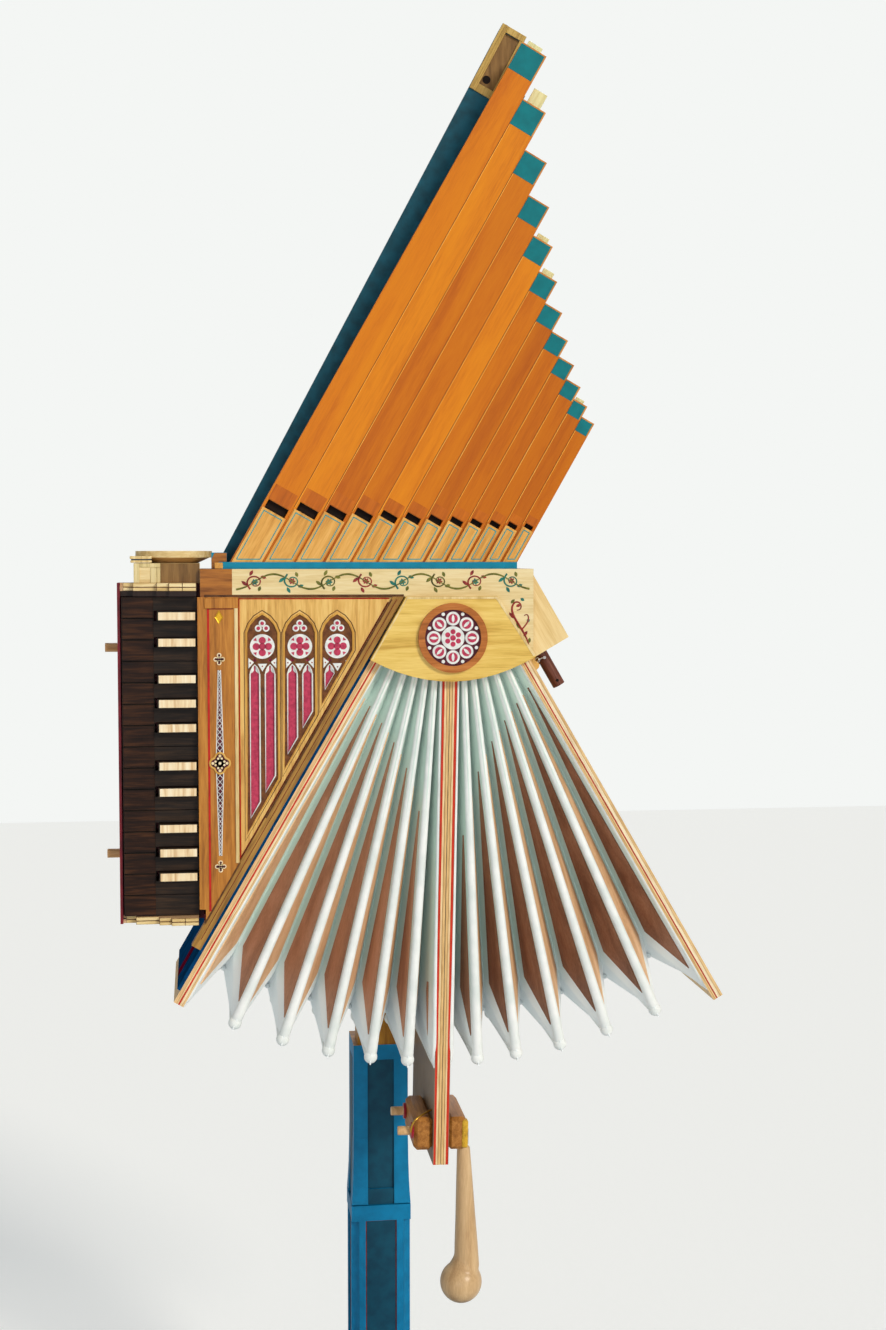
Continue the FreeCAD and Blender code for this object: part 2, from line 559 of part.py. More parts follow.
def window_outline(middle):
    """A pointed window over a slanting foot."""
    left = middle + " - window_wide / 2"
    right = middle + " + window_wide / 2"
    corners = [(left, slant_z(left, outer + " + window_foot")),
               (right, slant_z(right, outer + " + window_foot")), (right, "window_spring")]
    arch = []
    for aside, up in ARCH:
        height = "window_spring + (window_top - window_spring) * %s" % up
        corners.append(("%s + window_wide * %s" % (middle, aside), height))
        arch.insert(0, ("%s - window_wide * %s" % (middle, aside), height))
    return corners + [(middle, "window_top")] + arch + [(left, "window_spring")]


windows = []
for i in range(3):
    middle = "(window_first + window_pitch * %d)" % i
    windows.append(outline_pad("window_%d" % i, window_outline(middle), tread("panel_front - 1"),
                               "panel_thick + 2"))
keep(cut("panel_cut", panel, fuse("window_tools", *windows)), "window_panel")

# The tracery fills each window behind the panel's face, with two lights and a rose.
tracery = []
for i in range(3):
    middle = "(window_first + window_pitch * %d)" % i
    sheet_pad = outline_pad("tracery_%d" % i, window_outline(middle), tread("panel_front + tracery_sink"),
                            "tracery_thick")
    tools = [rod("rose_hole_%d" % i, middle, tread("panel_front"), "rose_high", "rose_radius - rose_bar",
                 "panel_thick", "Y")]
    for side in WINDOW_LIGHTS[i]:
        centre = "(%s + light_aside * %d)" % (middle, side)
        low = outer + " + window_foot + light_low"
        tools.append(outline_pad("light_%d_%d" % (i, side + 1), [
            (centre + " - light_wide / 2", slant_z(centre + " - light_wide / 2", low)),
            (centre + " + light_wide / 2", slant_z(centre + " + light_wide / 2", low)),
            (centre + " + light_wide / 2", "light_spring"), (centre, "light_top"),
            (centre + " - light_wide / 2", "light_spring")], tread("panel_front"), "panel_thick"))
    tracery.append(cut("tracery_cut_%d" % i, sheet_pad, fuse("tracery_tools_%d" % i, *tools)))
keep(group("tracery_all", *tracery), "window_tracery")

stile = outline_pad("stile", [
    ("case_left", "chest_bottom"), ("case_left", slant_z("case_left", outer)),
    ("stile_right", slant_z("stile_right", outer)), ("stile_right", "chest_bottom")],
    tread("panel_front - stile_proud"), "stile_proud")
batten = block("batten", "case_left - batten_wide", tread("panel_front - stile_proud"), "batten_low",
               "batten_wide", "panel_thick + stile_proud", "chest_bottom - batten_low")
keep(fuse("pilaster_all", stile, batten), "pilaster")

# ---- wind box on the right board ----
box_blank = fan_box("box_blank", "-spread_angle", "box_start", "box_end", "board_thick / 2", "box_out",
                    tread("box_front"), "box_long")
box_chest = block("box_chest", "chest_left", tread(0), "chest_bottom", "chest_right - chest_left",
                  "chest_deep", "chest_top - chest_bottom")
keep(cut("box_cut", box_blank, box_chest), "wind_box")

# ---- bellows catch ----
catch_base = fan_box("catch_base", "-spread_angle", "catch_start", "catch_end", "board_thick / 2",
                     "catch_thick", tread("catch_front"), "catch_long")
ears = []
for name, y in (("near", "catch_front"), ("far", "catch_front + catch_long - ear_thick")):
    ears.append(fan_box("ear_" + name, "-spread_angle", "catch_pin_u - 6", "catch_pin_u + 6",
                        "board_thick / 2 + catch_thick - 1", "ear_out", tread(y), "ear_thick"))
catch_x = "(apex_x + catch_pin_u * sin(spread_angle) + catch_pin_v * cos(spread_angle))"
catch_z = "(apex_z - catch_pin_u * cos(spread_angle) + catch_pin_v * sin(spread_angle))"
catch_pin = rod("catch_pin", catch_x, tread("catch_front"), catch_z, "catch_pin_radius", "catch_long", "Y")
keep(fuse("catch_all", catch_base, ears[0], ears[1], catch_pin), "latch_bracket")

toggle = doc.addObject("Part::Cylinder", "toggle_blank")
bind(toggle, Radius="toggle_radius", Height="toggle_above + toggle_below")
turn(toggle, (0, 1, 0), "180 - spread_angle")
place(toggle, catch_x + " - toggle_above * sin(spread_angle)", tread("catch_front + catch_long / 2"),
      catch_z + " + toggle_above * cos(spread_angle)")
toggle_bore = rod("toggle_bore", catch_x, tread("catch_front"), catch_z, "catch_pin_radius + running_gap",
                  "catch_long", "Y")
keep(cut("toggle_cut", toggle, toggle_bore), "latch_toggle")

# ---- keyboard ----
key_low = "(key_top - key_pitch * %d)" % NATURALS
cheek_left = "(key_left - slip_gap - slip_thick)"
bed_face = "(key_face + key_thick + bed_gap)"
bed_back = "(key_face + key_thick + bed_gap + bed_thick)"
cheek_top = "(key_top + cheek_gap + top_cheek_thick)"
cheek_bottom = "(%s - cheek_gap - cheek_thick)" % key_low


def octave_place(natural):
    """Which step of the octave a natural is, counted from the top of the keyboard."""
    return natural % NATURALS_PER_OCTAVE


def has_sharp(natural):
    """Whether a raised key stands below this natural."""
    return 0 <= natural < NATURALS - 1 and octave_place(natural) in SHARP_AFTER_NATURAL


def sharp_middle(natural):
    """The height of the raised key below a natural."""
    shift = SHARP_AFTER_NATURAL[octave_place(natural)]
    return "(key_top - key_pitch * %d + %s)" % (natural + 1, shift)


def tail_edges(natural):
    """The top and bottom of a natural's tail, between its raised neighbours."""
    top = "(key_top - key_pitch * %d - key_split / 2)" % natural
    bottom = "(key_top - key_pitch * %d + key_split / 2)" % (natural + 1)
    if has_sharp(natural - 1):
        top = "(%s - sharp_wide / 2 - key_split)" % sharp_middle(natural - 1)
    if has_sharp(natural):
        bottom = "(%s + sharp_wide / 2 + key_split)" % sharp_middle(natural)
    return top, bottom


def lever(name, middle, sticker_x, blanks):
    """A key's arm, sticker and pallet, joined to what shows of it and bored for the rod."""
    arm = block(name + "_arm", "tail_end - 12", tread("arm_front"), "%s - arm_tall / 2" % middle,
                "arm_end - tail_end + 12", "key_face + key_thick - arm_front", "arm_tall")
    sticker = rod(name + "_sticker", sticker_x, tread("arm_front + 2"), middle, "sticker_radius",
                  "%s + pallet_gap + pallet_thick - arm_front - 2" % bed_back, "Y")
    pallet = block(name + "_pallet", "%s - pallet_before" % sticker_x, tread(bed_back + " + pallet_gap"),
                   "%s - pallet_tall / 2" % middle, "pallet_long", "pallet_thick", "pallet_tall")
    bore = rod(name + "_bore", "key_pivot_x", tread("key_pivot_y"), "%s - key_pitch" % middle,
               "key_rod_radius + running_gap", "2 * key_pitch")
    return cut(name + "_cut", fuse(name + "_all", arm, sticker, pallet, *blanks), bore)


key_number = 0
slots = []
for natural in range(NATURALS):
    key_number += 1
    name = "key_%02d" % key_number
    top = "(key_top - key_pitch * %d - key_split / 2)" % natural
    bottom = "(key_top - key_pitch * %d + key_split / 2)" % (natural + 1)
    tail_top, tail_bottom = tail_edges(natural)
    head = block(name + "_head", "key_left", tread("key_face"), bottom, "head_long", "key_thick",
                 "%s - %s" % (top, bottom))
    tail = block(name + "_tail", "key_left + head_long - 1", tread("key_face"), tail_bottom,
                 "tail_end - key_left - head_long + 1", "key_thick", "%s - %s" % (tail_top, tail_bottom))
    middle = "((%s + %s) / 2)" % (tail_top, tail_bottom)
    keep(lever(name, middle, "sticker_natural", [head, tail]), name)
    slots.append(block("slot_%02d" % key_number, "sticker_natural - slot_before", tread(bed_face + " - 1"),
                       "%s - slot_before" % middle, "slot_long", "bed_thick + 2", "2 * slot_before"))
    if has_sharp(natural):
        key_number += 1
        name = "key_%02d" % key_number
        middle = sharp_middle(natural)
        raised = block(name + "_raised", "sharp_start", tread("key_face - sharp_rise"),
                       "%s - sharp_wide / 2" % middle, "sharp_end - sharp_start", "key_thick + sharp_rise",
                       "sharp_wide")
        keep(lever(name, middle, "sticker_sharp", [raised]), name)
        slots.append(block("slot_%02d" % key_number, "sticker_sharp - slot_before", tread(bed_face + " - 1"),
                           "%s - slot_before" % middle, "slot_long", "bed_thick + 2", "2 * slot_before"))

clear = inner + " + bed_clear"
bed = outline_pad("bed", [
    (cheek_left, cheek_bottom), (slant_x(cheek_bottom, clear), cheek_bottom),
    ("bed_right", slant_z("bed_right", clear)), ("bed_right", "chest_bottom"),
    ("chest_left", "chest_bottom"), ("chest_left", cheek_top), (cheek_left, cheek_top)],
    tread(bed_face), "bed_thick")
slip = block("slip", cheek_left, tread("slip_front"), cheek_bottom, "slip_thick",
             "%s - slip_front" % bed_face, "%s - %s" % (cheek_top, cheek_bottom))
rod_rest = block("rod_rest", "rod_rest_left", tread("key_pivot_y - 5"), cheek_bottom,
                 "rod_rest_right - rod_rest_left", "%s - key_pivot_y + 5" % bed_face, "cheek_thick")
rest_hole = rod("rest_hole", "key_pivot_x", tread("key_pivot_y"), cheek_bottom + " - 1", "key_rod_radius",
                "cheek_thick + 2")
frame_all = fuse("frame_all", bed, slip, rod_rest)
keep(cut("frame_cut", frame_all, fuse("frame_tools", rest_hole, *slots)), "key_frame")
keep(rod("rod_blank", "key_pivot_x", tread("key_pivot_y"), cheek_bottom, "key_rod_radius",
         "chest_bottom + rod_seat - %s" % cheek_bottom), "key_pivot_rod")


def cheek(name, low, tall):
    """An end cheek of the keyboard; its front edge steps forward towards the case."""
    return outline_pad(name, [
        ("key_left - slip_gap", tread(bed_face)), ("key_left - slip_gap", tread("cheek_back")),
        ("cheek_step_one", tread("cheek_back")), ("cheek_step_one", tread("cheek_middle")),
        ("cheek_step_two", tread("cheek_middle")), ("cheek_step_two", tread("cheek_fore")),
        ("cheek_step_three", tread("cheek_fore")), ("cheek_step_three", tread("cheek_front")),
        ("cheek_right", tread("cheek_front")), ("cheek_right", tread(bed_face))], low, tall, "XY_Plane")


keep(group("cheeks_all", cheek("top_cheek", "key_top + cheek_gap", "top_cheek_thick"),
           cheek("low_cheek", cheek_bottom, "cheek_thick")), "key_cheeks")

shell_tall = "(key_top + pallet_box_rise - %s)" % cheek_bottom
shell = block("shell_blank", "pallet_box_left", tread(bed_back), cheek_bottom,
              "pallet_box_right - pallet_box_left", "pallet_box_deep", shell_tall)
shell_room = block("shell_room", "pallet_box_left + box_wall", tread(bed_back + " - 1"),
                   cheek_bottom + " + box_wall", "pallet_box_right - pallet_box_left - 2 * box_wall",
                   "pallet_box_deep - box_wall + 1", shell_tall + " - 2 * box_wall")
keep(cut("shell_cut", shell, shell_room), "pallet_box")

peg_y = tread(bed_face + " + bed_thick / 2")
peg_left = cheek_left + " - peg_out"
keep(group("pegs_all", rod("peg_upper", peg_left, peg_y, "peg_high", "peg_radius", "peg_out", "X"),
           rod("peg_lower", peg_left, peg_y, "peg_low", "peg_radius", "peg_out", "X")), "strap_pegs")

# ---- hand rest ----
rest_box = block("rest_box", "rest_box_left", tread("rest_box_front"), cheek_top,
                 "chest_left - rest_box_left", "rest_box_deep", "rest_box_top - %s" % cheek_top)
stem = doc.addObject("Part::Cone", "rest_stem")
bind(stem, Radius1="rest_stem_low", Radius2="rest_stem_high", Height="rest_top - rest_thick - rest_box_top")
place(stem, "rest_x", tread("rest_y"), "rest_box_top")
disc = rod("rest_disc", "rest_x", tread("rest_y"), "rest_top - rest_thick", "rest_radius", "rest_thick")
keep(fuse("rest_all", rest_box, stem, disc), "hand_rest")

# ---- swinging pump boards, drawn upright about the pivot and then leaned ----
pump_front = tread("hub_end_gap")
pump_deep = "body_deep - 2 * hub_end_gap"


def swing(item, x, y, z):
    """Places a part of the pump: x and z are measured from the pivot before it leans."""
    turn(item, (0, 1, 0), "pump_lean")
    return place(item, "apex_x + (%s) * cos(pump_lean) + (%s) * sin(pump_lean)" % (x, z), y,
                 "pivot_z - (%s) * sin(pump_lean) + (%s) * cos(pump_lean)" % (x, z))


def swing_box(name, x, y, z, wide, deep, tall):
    """A box of the pump from its lowest corner."""
    item = doc.addObject("Part::Box", name)
    bind(item, Length=wide, Width=deep, Height=tall)
    return swing(item, x, y, z)


left_face = "(pump_split / 2 + pump_thick)"
hub = swing_box("hub", "-hub_wide / 2", pump_front, "-hub_tall", "hub_wide", pump_deep, "2 * hub_tall")
left_leaf = swing_box("left_leaf", "-" + left_face, pump_front, "-pump_reach", "pump_thick", pump_deep,
                      "pump_reach - hub_tall + 1")
right_leaf = swing_box("right_leaf", "pump_split / 2", pump_front, "-pump_reach", "pump_thick", pump_deep,
                       "pump_reach - hub_tall + 1")
hub_bore = rod("hub_bore", "apex_x", tread("-1"), "pivot_z", "pin_radius + running_gap", "body_deep + 2", "Y")
keep(cut("pump_cut", fuse("pump_all", hub, left_leaf, right_leaf), hub_bore), "pump_boards")

block_top = "(pump_reach - block_rise)"
block_low = "-%s - block_tall" % block_top
left_block = swing_box("left_block", "-%s - block_thick" % left_face, tread("block_front"), block_low,
                       "block_thick", "block_long", "block_tall")
right_block = swing_box("right_block", left_face, tread("block_front"), block_low, "block_thick",
                        "block_long", "block_tall")
pieces = [left_block, right_block]
dowel_low = "(%s + dowel_sink)" % block_top
pins = (("dowel", "dowel_radius", "dowel_out"), ("felt", "felt_radius", "felt_thick"))
for name, y in (("near", "dowel_near"), ("far", "dowel_near + dowel_spacing")):
    for kind, radius, reach in pins:
        item = doc.addObject("Part::Cylinder", "%s_%s" % (kind, name))
        bind(item, Radius=radius, Height="%s + 1" % reach)
        item.Placement.Rotation = FreeCAD.Rotation(FreeCAD.Vector(0, 1, 0), 1)
        bind(item, Placement__Rotation__Angle="90 + pump_lean")
        start = "(-%s - block_thick - %s)" % (left_face, reach)
        place(item, "apex_x + %s * cos(pump_lean) - %s * sin(pump_lean)" % (start, dowel_low), tread(y),
              "pivot_z - %s * sin(pump_lean) - %s * cos(pump_lean)" % (start, dowel_low))
        pieces.append(item)
keep(fuse("blocks_all", *pieces), "pump_block")

eye_out = "(%s + block_thick + eye_round + eye_gap)" % left_face
eye_drop = "(%s + eye_sink)" % block_top
eye_x = "(apex_x + %s * cos(pump_lean) - %s * sin(pump_lean))" % (eye_out, eye_drop)
eye_z = "(pivot_z - %s * sin(pump_lean) - %s * cos(pump_lean))" % (eye_out, eye_drop)
lugs = []
for name, y in (("near", "handle_depth - eye_wide / 2 - eye_gap - lug_wide"),
                ("far", "handle_depth + eye_wide / 2 + eye_gap")):
    lugs.append(swing_box("lug_" + name, "%s + block_thick" % left_face, tread(y), "-%s - 4" % eye_drop,
                          "lug_out", "lug_wide", "lug_tall"))
eye_pin = rod("eye_pin", eye_x, tread("handle_depth - eye_wide / 2 - eye_gap - lug_wide"), eye_z,
              "eye_radius", "eye_wide + 2 * eye_gap + 2 * lug_wide", "Y")
keep(fuse("eye_all", lugs[0], lugs[1], eye_pin), "handle_eye")

# ---- hanging handle ----
ring_front = tread("handle_depth - eye_wide / 2")
ring_eye = rod("handle_ring", eye_x, ring_front, eye_z, "eye_round", "eye_wide", "Y")
stem_block = block("handle_stem", eye_x + " - eye_round", ring_front,
                   eye_z + " - neck_start - 4", "2 * eye_round", "eye_wide", "neck_start + 4")
club = doc.addObject("Part::Cone", "club")
bind(club, Radius1="club_low_radius", Radius2="club_top_radius", Height="club_long")
turn(club, (0, 1, 0), "-club_lean")
place(club, eye_x + " + club_long * sin(club_lean)", tread("handle_depth"),
      eye_z + " - neck_start - club_long * cos(club_lean)")
ball = doc.addObject("Part::Sphere", "ball")
bind(ball, Radius="ball_radius")
place(ball, eye_x + " - ball_aside", tread("handle_depth"), eye_z + " - ball_drop")
eye_bore = rod("eye_bore", eye_x, tread("handle_depth - eye_wide"), eye_z, "eye_radius + running_gap",
               "2 * eye_wide", "Y")
keep(cut("handle_cut", fuse("handle_all", ring_eye, stem_block, club, ball), eye_bore), "pump_handle")

doc.recompute()

# ---- folded sides of the two bellows ----
APEX = FreeCAD.Vector(size("apex_x"), 0, size("apex_z"))
LEAN = math.radians(size("pump_lean"))


def toward(angle, radius, y):
    """A point at an angle from straight down about the apex; to the left is positive."""
    return FreeCAD.Vector(APEX.x - radius * math.sin(angle), y, APEX.z - radius * math.cos(angle))


def board_angle(radius, side):
    """The angle at which the fixed board's inner face is, at a distance from the apex."""
    face = size("board_thick") / 2
    return side * (math.radians(size("spread_angle")) - math.asin(face / radius))


def pump_angle(radius, side):
    """The angle at which the swinging boards' face and its clearance are, at a distance from the apex."""
    face = size("pump_split") / 2 + size("pump_thick") + size("pump_gap")
    from_pivot = radius - (size("apex_z") - size("pivot_z"))
    x = -side * face * math.cos(LEAN) - from_pivot * math.sin(LEAN)
    z = side * face * math.sin(LEAN) - from_pivot * math.cos(LEAN) + size("pivot_z") - size("apex_z")
    return math.atan2(-x, -z)


def folds(side, inset, overrun):
    """The corners of each radial line, from the swinging board to the fixed one; valleys deepen outward."""
    front = FRONT + size("fold_margin") + inset
    back = FRONT + size("body_deep") - size("fold_margin") - inset
    near = size("fold_start") + inset
    sink = size("fold_sink")
    lines = []
    for step in range(2 * FOLDS + 1):
        part = (step / (2 * FOLDS)) ** size("fold_crowding")
        if step == 0:
            part -= overrun
        if step == 2 * FOLDS:
            part += overrun
        deep = sink if step % 2 else 0
        far = size("fold_reach") - inset - deep
        shallow = deep * near / far
        corners = []
        places = ((near, front + shallow), (far, front + deep), (far, back - deep), (near, back - shallow))
        for radius, y in places:
            start = pump_angle(radius, side)
            end = board_angle(radius, side)
            corners.append(toward(start + (end - start) * part, radius, y))
        lines.append(corners)
    return lines


def folded_solid(lines):
    """The solid between the radial lines, each face split in two so that it stays flat."""
    faces = []

    def triangle(a, b, c):
        faces.append(Part.Face(Part.makePolygon([a, b, c, a])))

    for first, second in zip(lines, lines[1:]):
        for i in range(4):
            j = (i + 1) % 4
            triangle(first[i], first[j], second[j])
            triangle(first[i], second[j], second[i])
    for line in (lines[0], lines[-1]):
        triangle(line[0], line[1], line[2])
        triangle(line[0], line[2], line[3])
    shell = Part.makeShell(faces)
    solid = Part.makeSolid(shell)
    if solid.Volume < 0:
        solid.reverse()
    return solid


FOLD_WALL = 4
for label, side in (("left_bellows", 1), ("right_bellows", -1)):
    outside = folded_solid(folds(side, 0, 0))
    inside = folded_solid(folds(side, FOLD_WALL, 0.02))
    made(label, outside.cut(inside))

doc.recompute()

# ---- checks and writing ----
for item in doc.Objects:
    if "Invalid" in item.State or "Error" in item.State:
        raise RuntimeError("%s did not build: %s" % (item.Name, item.State))
os.makedirs("parts", exist_ok=True)
for item in EXPORTED:
    if item.Shape.isNull() or not item.Shape.isValid() or item.Shape.Volume <= 0:
        raise RuntimeError("%s has no sound shape" % item.Label)
    print(item.Label, len(item.Shape.Solids), round(item.Shape.Volume / 1000, 1))
    item.Shape.exportStep("parts/%s.step" % item.Label)
print(len(EXPORTED), "sub-parts")
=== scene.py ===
"""The looks of a portative organ: its timbers, paint, leather and carving, built round the CAD frame."""

import json
import math

import bmesh
import bpy
from mathutils import Matrix, Vector


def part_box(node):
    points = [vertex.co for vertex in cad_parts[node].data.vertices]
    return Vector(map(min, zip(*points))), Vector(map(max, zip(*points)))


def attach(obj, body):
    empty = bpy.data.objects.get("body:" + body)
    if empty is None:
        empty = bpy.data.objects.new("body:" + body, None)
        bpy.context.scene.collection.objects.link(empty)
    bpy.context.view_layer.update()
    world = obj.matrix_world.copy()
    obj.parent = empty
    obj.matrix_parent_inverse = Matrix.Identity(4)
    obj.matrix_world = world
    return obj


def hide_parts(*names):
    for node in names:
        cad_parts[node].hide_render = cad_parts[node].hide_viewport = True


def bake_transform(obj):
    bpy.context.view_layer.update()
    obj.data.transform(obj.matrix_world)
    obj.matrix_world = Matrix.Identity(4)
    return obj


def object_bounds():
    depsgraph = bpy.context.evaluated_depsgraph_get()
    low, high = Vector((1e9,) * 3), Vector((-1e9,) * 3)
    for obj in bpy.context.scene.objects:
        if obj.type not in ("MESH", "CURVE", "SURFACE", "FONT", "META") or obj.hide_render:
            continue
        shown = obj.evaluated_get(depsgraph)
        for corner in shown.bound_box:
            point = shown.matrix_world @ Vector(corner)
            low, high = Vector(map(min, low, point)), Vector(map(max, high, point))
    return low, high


MM = 0.001
QUARTER = math.pi / 2
QUARTERS = [number * QUARTER for number in range(4)]
FACING = Matrix.Rotation(QUARTER, 4, "X")       # stands a level shape up in the plane of the painted front

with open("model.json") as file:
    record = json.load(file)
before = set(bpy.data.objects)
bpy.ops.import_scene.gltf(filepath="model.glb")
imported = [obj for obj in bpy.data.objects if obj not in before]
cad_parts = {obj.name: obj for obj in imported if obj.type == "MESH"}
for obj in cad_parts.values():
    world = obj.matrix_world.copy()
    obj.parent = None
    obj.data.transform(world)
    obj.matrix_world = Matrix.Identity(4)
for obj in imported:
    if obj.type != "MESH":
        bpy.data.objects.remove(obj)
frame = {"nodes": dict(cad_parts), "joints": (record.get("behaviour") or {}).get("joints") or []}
CAD_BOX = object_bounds()
JOINTS = {joint["name"]: joint for joint in frame["joints"]}

# ---- driving sizes, in millimetres and degrees ----
SPREAD = 30.2           # how far each fixed bellows board stands out from straight down
PUMP_LEAN = 1.1         # the swinging boards hang a little off plumb
APEX_RISE = 112.8       # the boards' lines meet this far above the pump's pin
PIPE_LEAN = 29.5
REAR_LEAN = 28.0
PIPE_TAPER = 0.942      # each pipe's width over that of its lower neighbour
FRONT_WIDE = 30.2
REAR_WIDE = 30.0
SPEAKING = 657.8        # length of the lowest pipe
FRONT_PIPES = 12
REAR_PIPES = 13
FOLDS = 6
FOLD_START = 128
FOLD_REACH = 581
FOLD_SINK = 65
FOLD_CROWDING = 1.27
BOARD_THICK = 11.5
BOARD_HALF = BOARD_THICK / 2
BACKING_THICK = 3.8
SHARP_KEYS = (2, 4, 7, 9, 11, 14, 16, 19, 21, 23)

# ---- places that come from the frame, in metres ----
PIVOT = Vector(JOINTS["pump_swing"]["pos_m"])
APEX = PIVOT + Vector((0, 0, APEX_RISE * MM))
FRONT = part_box("left_bellows_board")[0].y
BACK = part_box("left_bellows_board")[1].y
TOE_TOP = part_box("pipe_caps")[0].z
CHEST_LOW, CHEST_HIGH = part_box("frieze_board")
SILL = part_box("window_panel")[1].z

# ---------------------------------------------------------------- materials


def linear(code):
    """A hex colour as Blender's linear values."""
    channels = [int(code[i:i + 2], 16) / 255 for i in (1, 3, 5)]
    return [c / 12.92 if c <= 0.04045 else ((c + 0.055) / 1.055) ** 2.4 for c in channels] + [1.0]


def add_node(tree, kind, sockets=None, stops=(), steps="LINEAR", **settings):
    """A node with its settings and links: each socket gets a value or an output, a ramp gets its stops."""
    node = tree.nodes.new("ShaderNode" + kind)
    for name, value in settings.items():
        setattr(node, name, value)
    for socket, value in (sockets or {}).items():
        if isinstance(value, bpy.types.NodeSocket):
            tree.links.new(value, node.inputs[socket])
        else:
            node.inputs[socket].default_value = value
    if stops:
        node.color_ramp.interpolation = steps
        elements = node.color_ramp.elements
        for element, (place, code) in zip(elements, (stops[0], stops[-1])):
            element.position, element.color = place, linear(code)
        for place, code in stops[1:-1]:
            elements.new(place).color = linear(code)
    return node


def new_material(name, rough, **shader):
    """A material with its shader; the colour and bump are linked by the caller."""
    material = bpy.data.materials.new(name)
    material.use_nodes = True
    tree = material.node_tree
    principled = tree.nodes["Principled BSDF"]
    principled.inputs["Roughness"].default_value = rough
    for socket, value in shader.items():
        principled.inputs[socket.replace("_", " ")].default_value = value
    return material, tree, principled


def local_coordinates(tree, angle=0.0, centre=(0, 0, 0), stretch=(1, 1, 1)):
    """Object coordinates turned about Y to lie with a slanting piece, then stretched."""
    source = add_node(tree, "TexCoord")
    return add_node(tree, "Mapping", {
        "Vector": source.outputs["Object"], "Location": centre,
        "Rotation": (0, math.radians(angle), 0), "Scale": stretch}, vector_type="TEXTURE").outputs["Vector"]


def grain_factor(tree, vector, ring_mm, streak_mm):
    """Growth rings broken up by fine pores, as one factor from 0 to 1, and the pores alone."""
    broad = add_node(tree, "TexNoise", {
        "Vector": vector, "Scale": 1000 / ring_mm, "Detail": 2.0, "Roughness": 0.5, "Distortion": 0.6})
    fine = add_node(tree, "TexNoise", {
        "Vector": vector, "Scale": 1000 / streak_mm, "Detail": 3.0, "Roughness": 0.6})
    both = add_node(tree, "Mix", {0: 0.38, 2: broad.outputs["Fac"], 3: fine.outputs["Fac"]})
    return both.outputs[0], fine.outputs["Fac"]


def finish_surface(tree, principled, colour, height, strength, depth_mm):
    """Gives a surface its colour, and a relief of a real depth."""
    tree.links.new(colour, principled.inputs["Base Color"])
    bump = add_node(tree, "Bump", {"Height": height, "Strength": strength, "Distance": depth_mm * MM})
    tree.links.new(bump.outputs["Normal"], principled.inputs["Normal"])


def along(axis):
    """How grain along X, Y or Z is stretched out of round noise."""
    return {"X": (14, 1, 1), "Y": (1, 14, 1), "Z": (1, 1, 14)}[axis]


def timber(name, pale, middle, dark, angle=0.0, axis="Z", ring_mm=9, streak_mm=1.1, rough=0.42, coat=0.1,
           shine=0.2):
    """Planed and oiled timber: rings and pores run along one axis of the piece."""
    material, tree, principled = new_material(
        name, rough, Specular_IOR_Level=shine, Coat_Weight=coat, Coat_Roughness=0.3)
    vector = local_coordinates(tree, angle, stretch=along(axis))
    factor, fine = grain_factor(tree, vector, ring_mm, streak_mm)
    colour = add_node(tree, "ValToRGB", {"Fac": factor}, [(0.34, dark), (0.5, middle), (0.66, pale)])
    finish_surface(tree, principled, colour.outputs["Color"], fine, 0.35, 0.15)
    return material


def laminated(name, thick_mm, layers, angle=0.0, centre=(0, 0, 0), axis="X"):
    """Veneers glued face to face, seen as lines on the edges: layers are (up to mm, hex colour)."""
    material, tree, principled = new_material(
        name, 0.45, Specular_IOR_Level=0.2, Coat_Weight=0.05, Coat_Roughness=0.35)
    split = add_node(tree, "SeparateXYZ", {"Vector": local_coordinates(tree, angle, centre)})
    across = add_node(tree, "MapRange", {
        "Value": split.outputs[axis], "From Min": -thick_mm / 2 * MM, "From Max": thick_mm / 2 * MM})
    starts = [0.0] + [end for end, code in layers]
    stops = [(start / thick_mm, code) for start, (end, code) in zip(starts, layers)]
    banded = add_node(tree, "ValToRGB", {"Fac": across.outputs["Result"]}, stops, "CONSTANT")
    pores = add_node(tree, "TexNoise", {
        "Vector": local_coordinates(tree, angle, stretch=along("Z")), "Scale": 700.0, "Detail": 3.0})
    shade = add_node(tree, "ValToRGB", {"Fac": pores.outputs["Fac"]}, [(0.3, "#CDBBA4"), (0.6, "#FFFFFF")])
    shaded = add_node(tree, "Mix", {0: 0.75, 6: banded.outputs["Color"], 7: shade.outputs["Color"]},
                      data_type="RGBA", blend_type="MULTIPLY")
    finish_surface(tree, principled, shaded.outputs[2], pores.outputs["Fac"], 0.25, 0.1)
    return material


def paint(name, code, shadow, rough=0.5, cloud_mm=14, grit_mm=1.2, shine=0.2):
    """Brushed paint over wood: slightly cloudy, with the brush's fine texture."""
    material, tree, principled = new_material(
        name, rough, Specular_IOR_Level=shine, Coat_Weight=0.0, Coat_Roughness=0.4)
    vector = local_coordinates(tree)
    cloud = add_node(tree, "TexNoise", {"Vector": vector, "Scale": 1000 / cloud_mm, "Detail": 3.0})
    grit = add_node(tree, "TexNoise", {"Vector": vector, "Scale": 1000 / grit_mm, "Detail": 2.0})
    colour = add_node(tree, "ValToRGB", {"Fac": cloud.outputs["Fac"]}, [(0.35, shadow), (0.62, code)])
    finish_surface(tree, principled, colour.outputs["Color"], grit.outputs["Fac"], 0.3, 0.12)
    return material


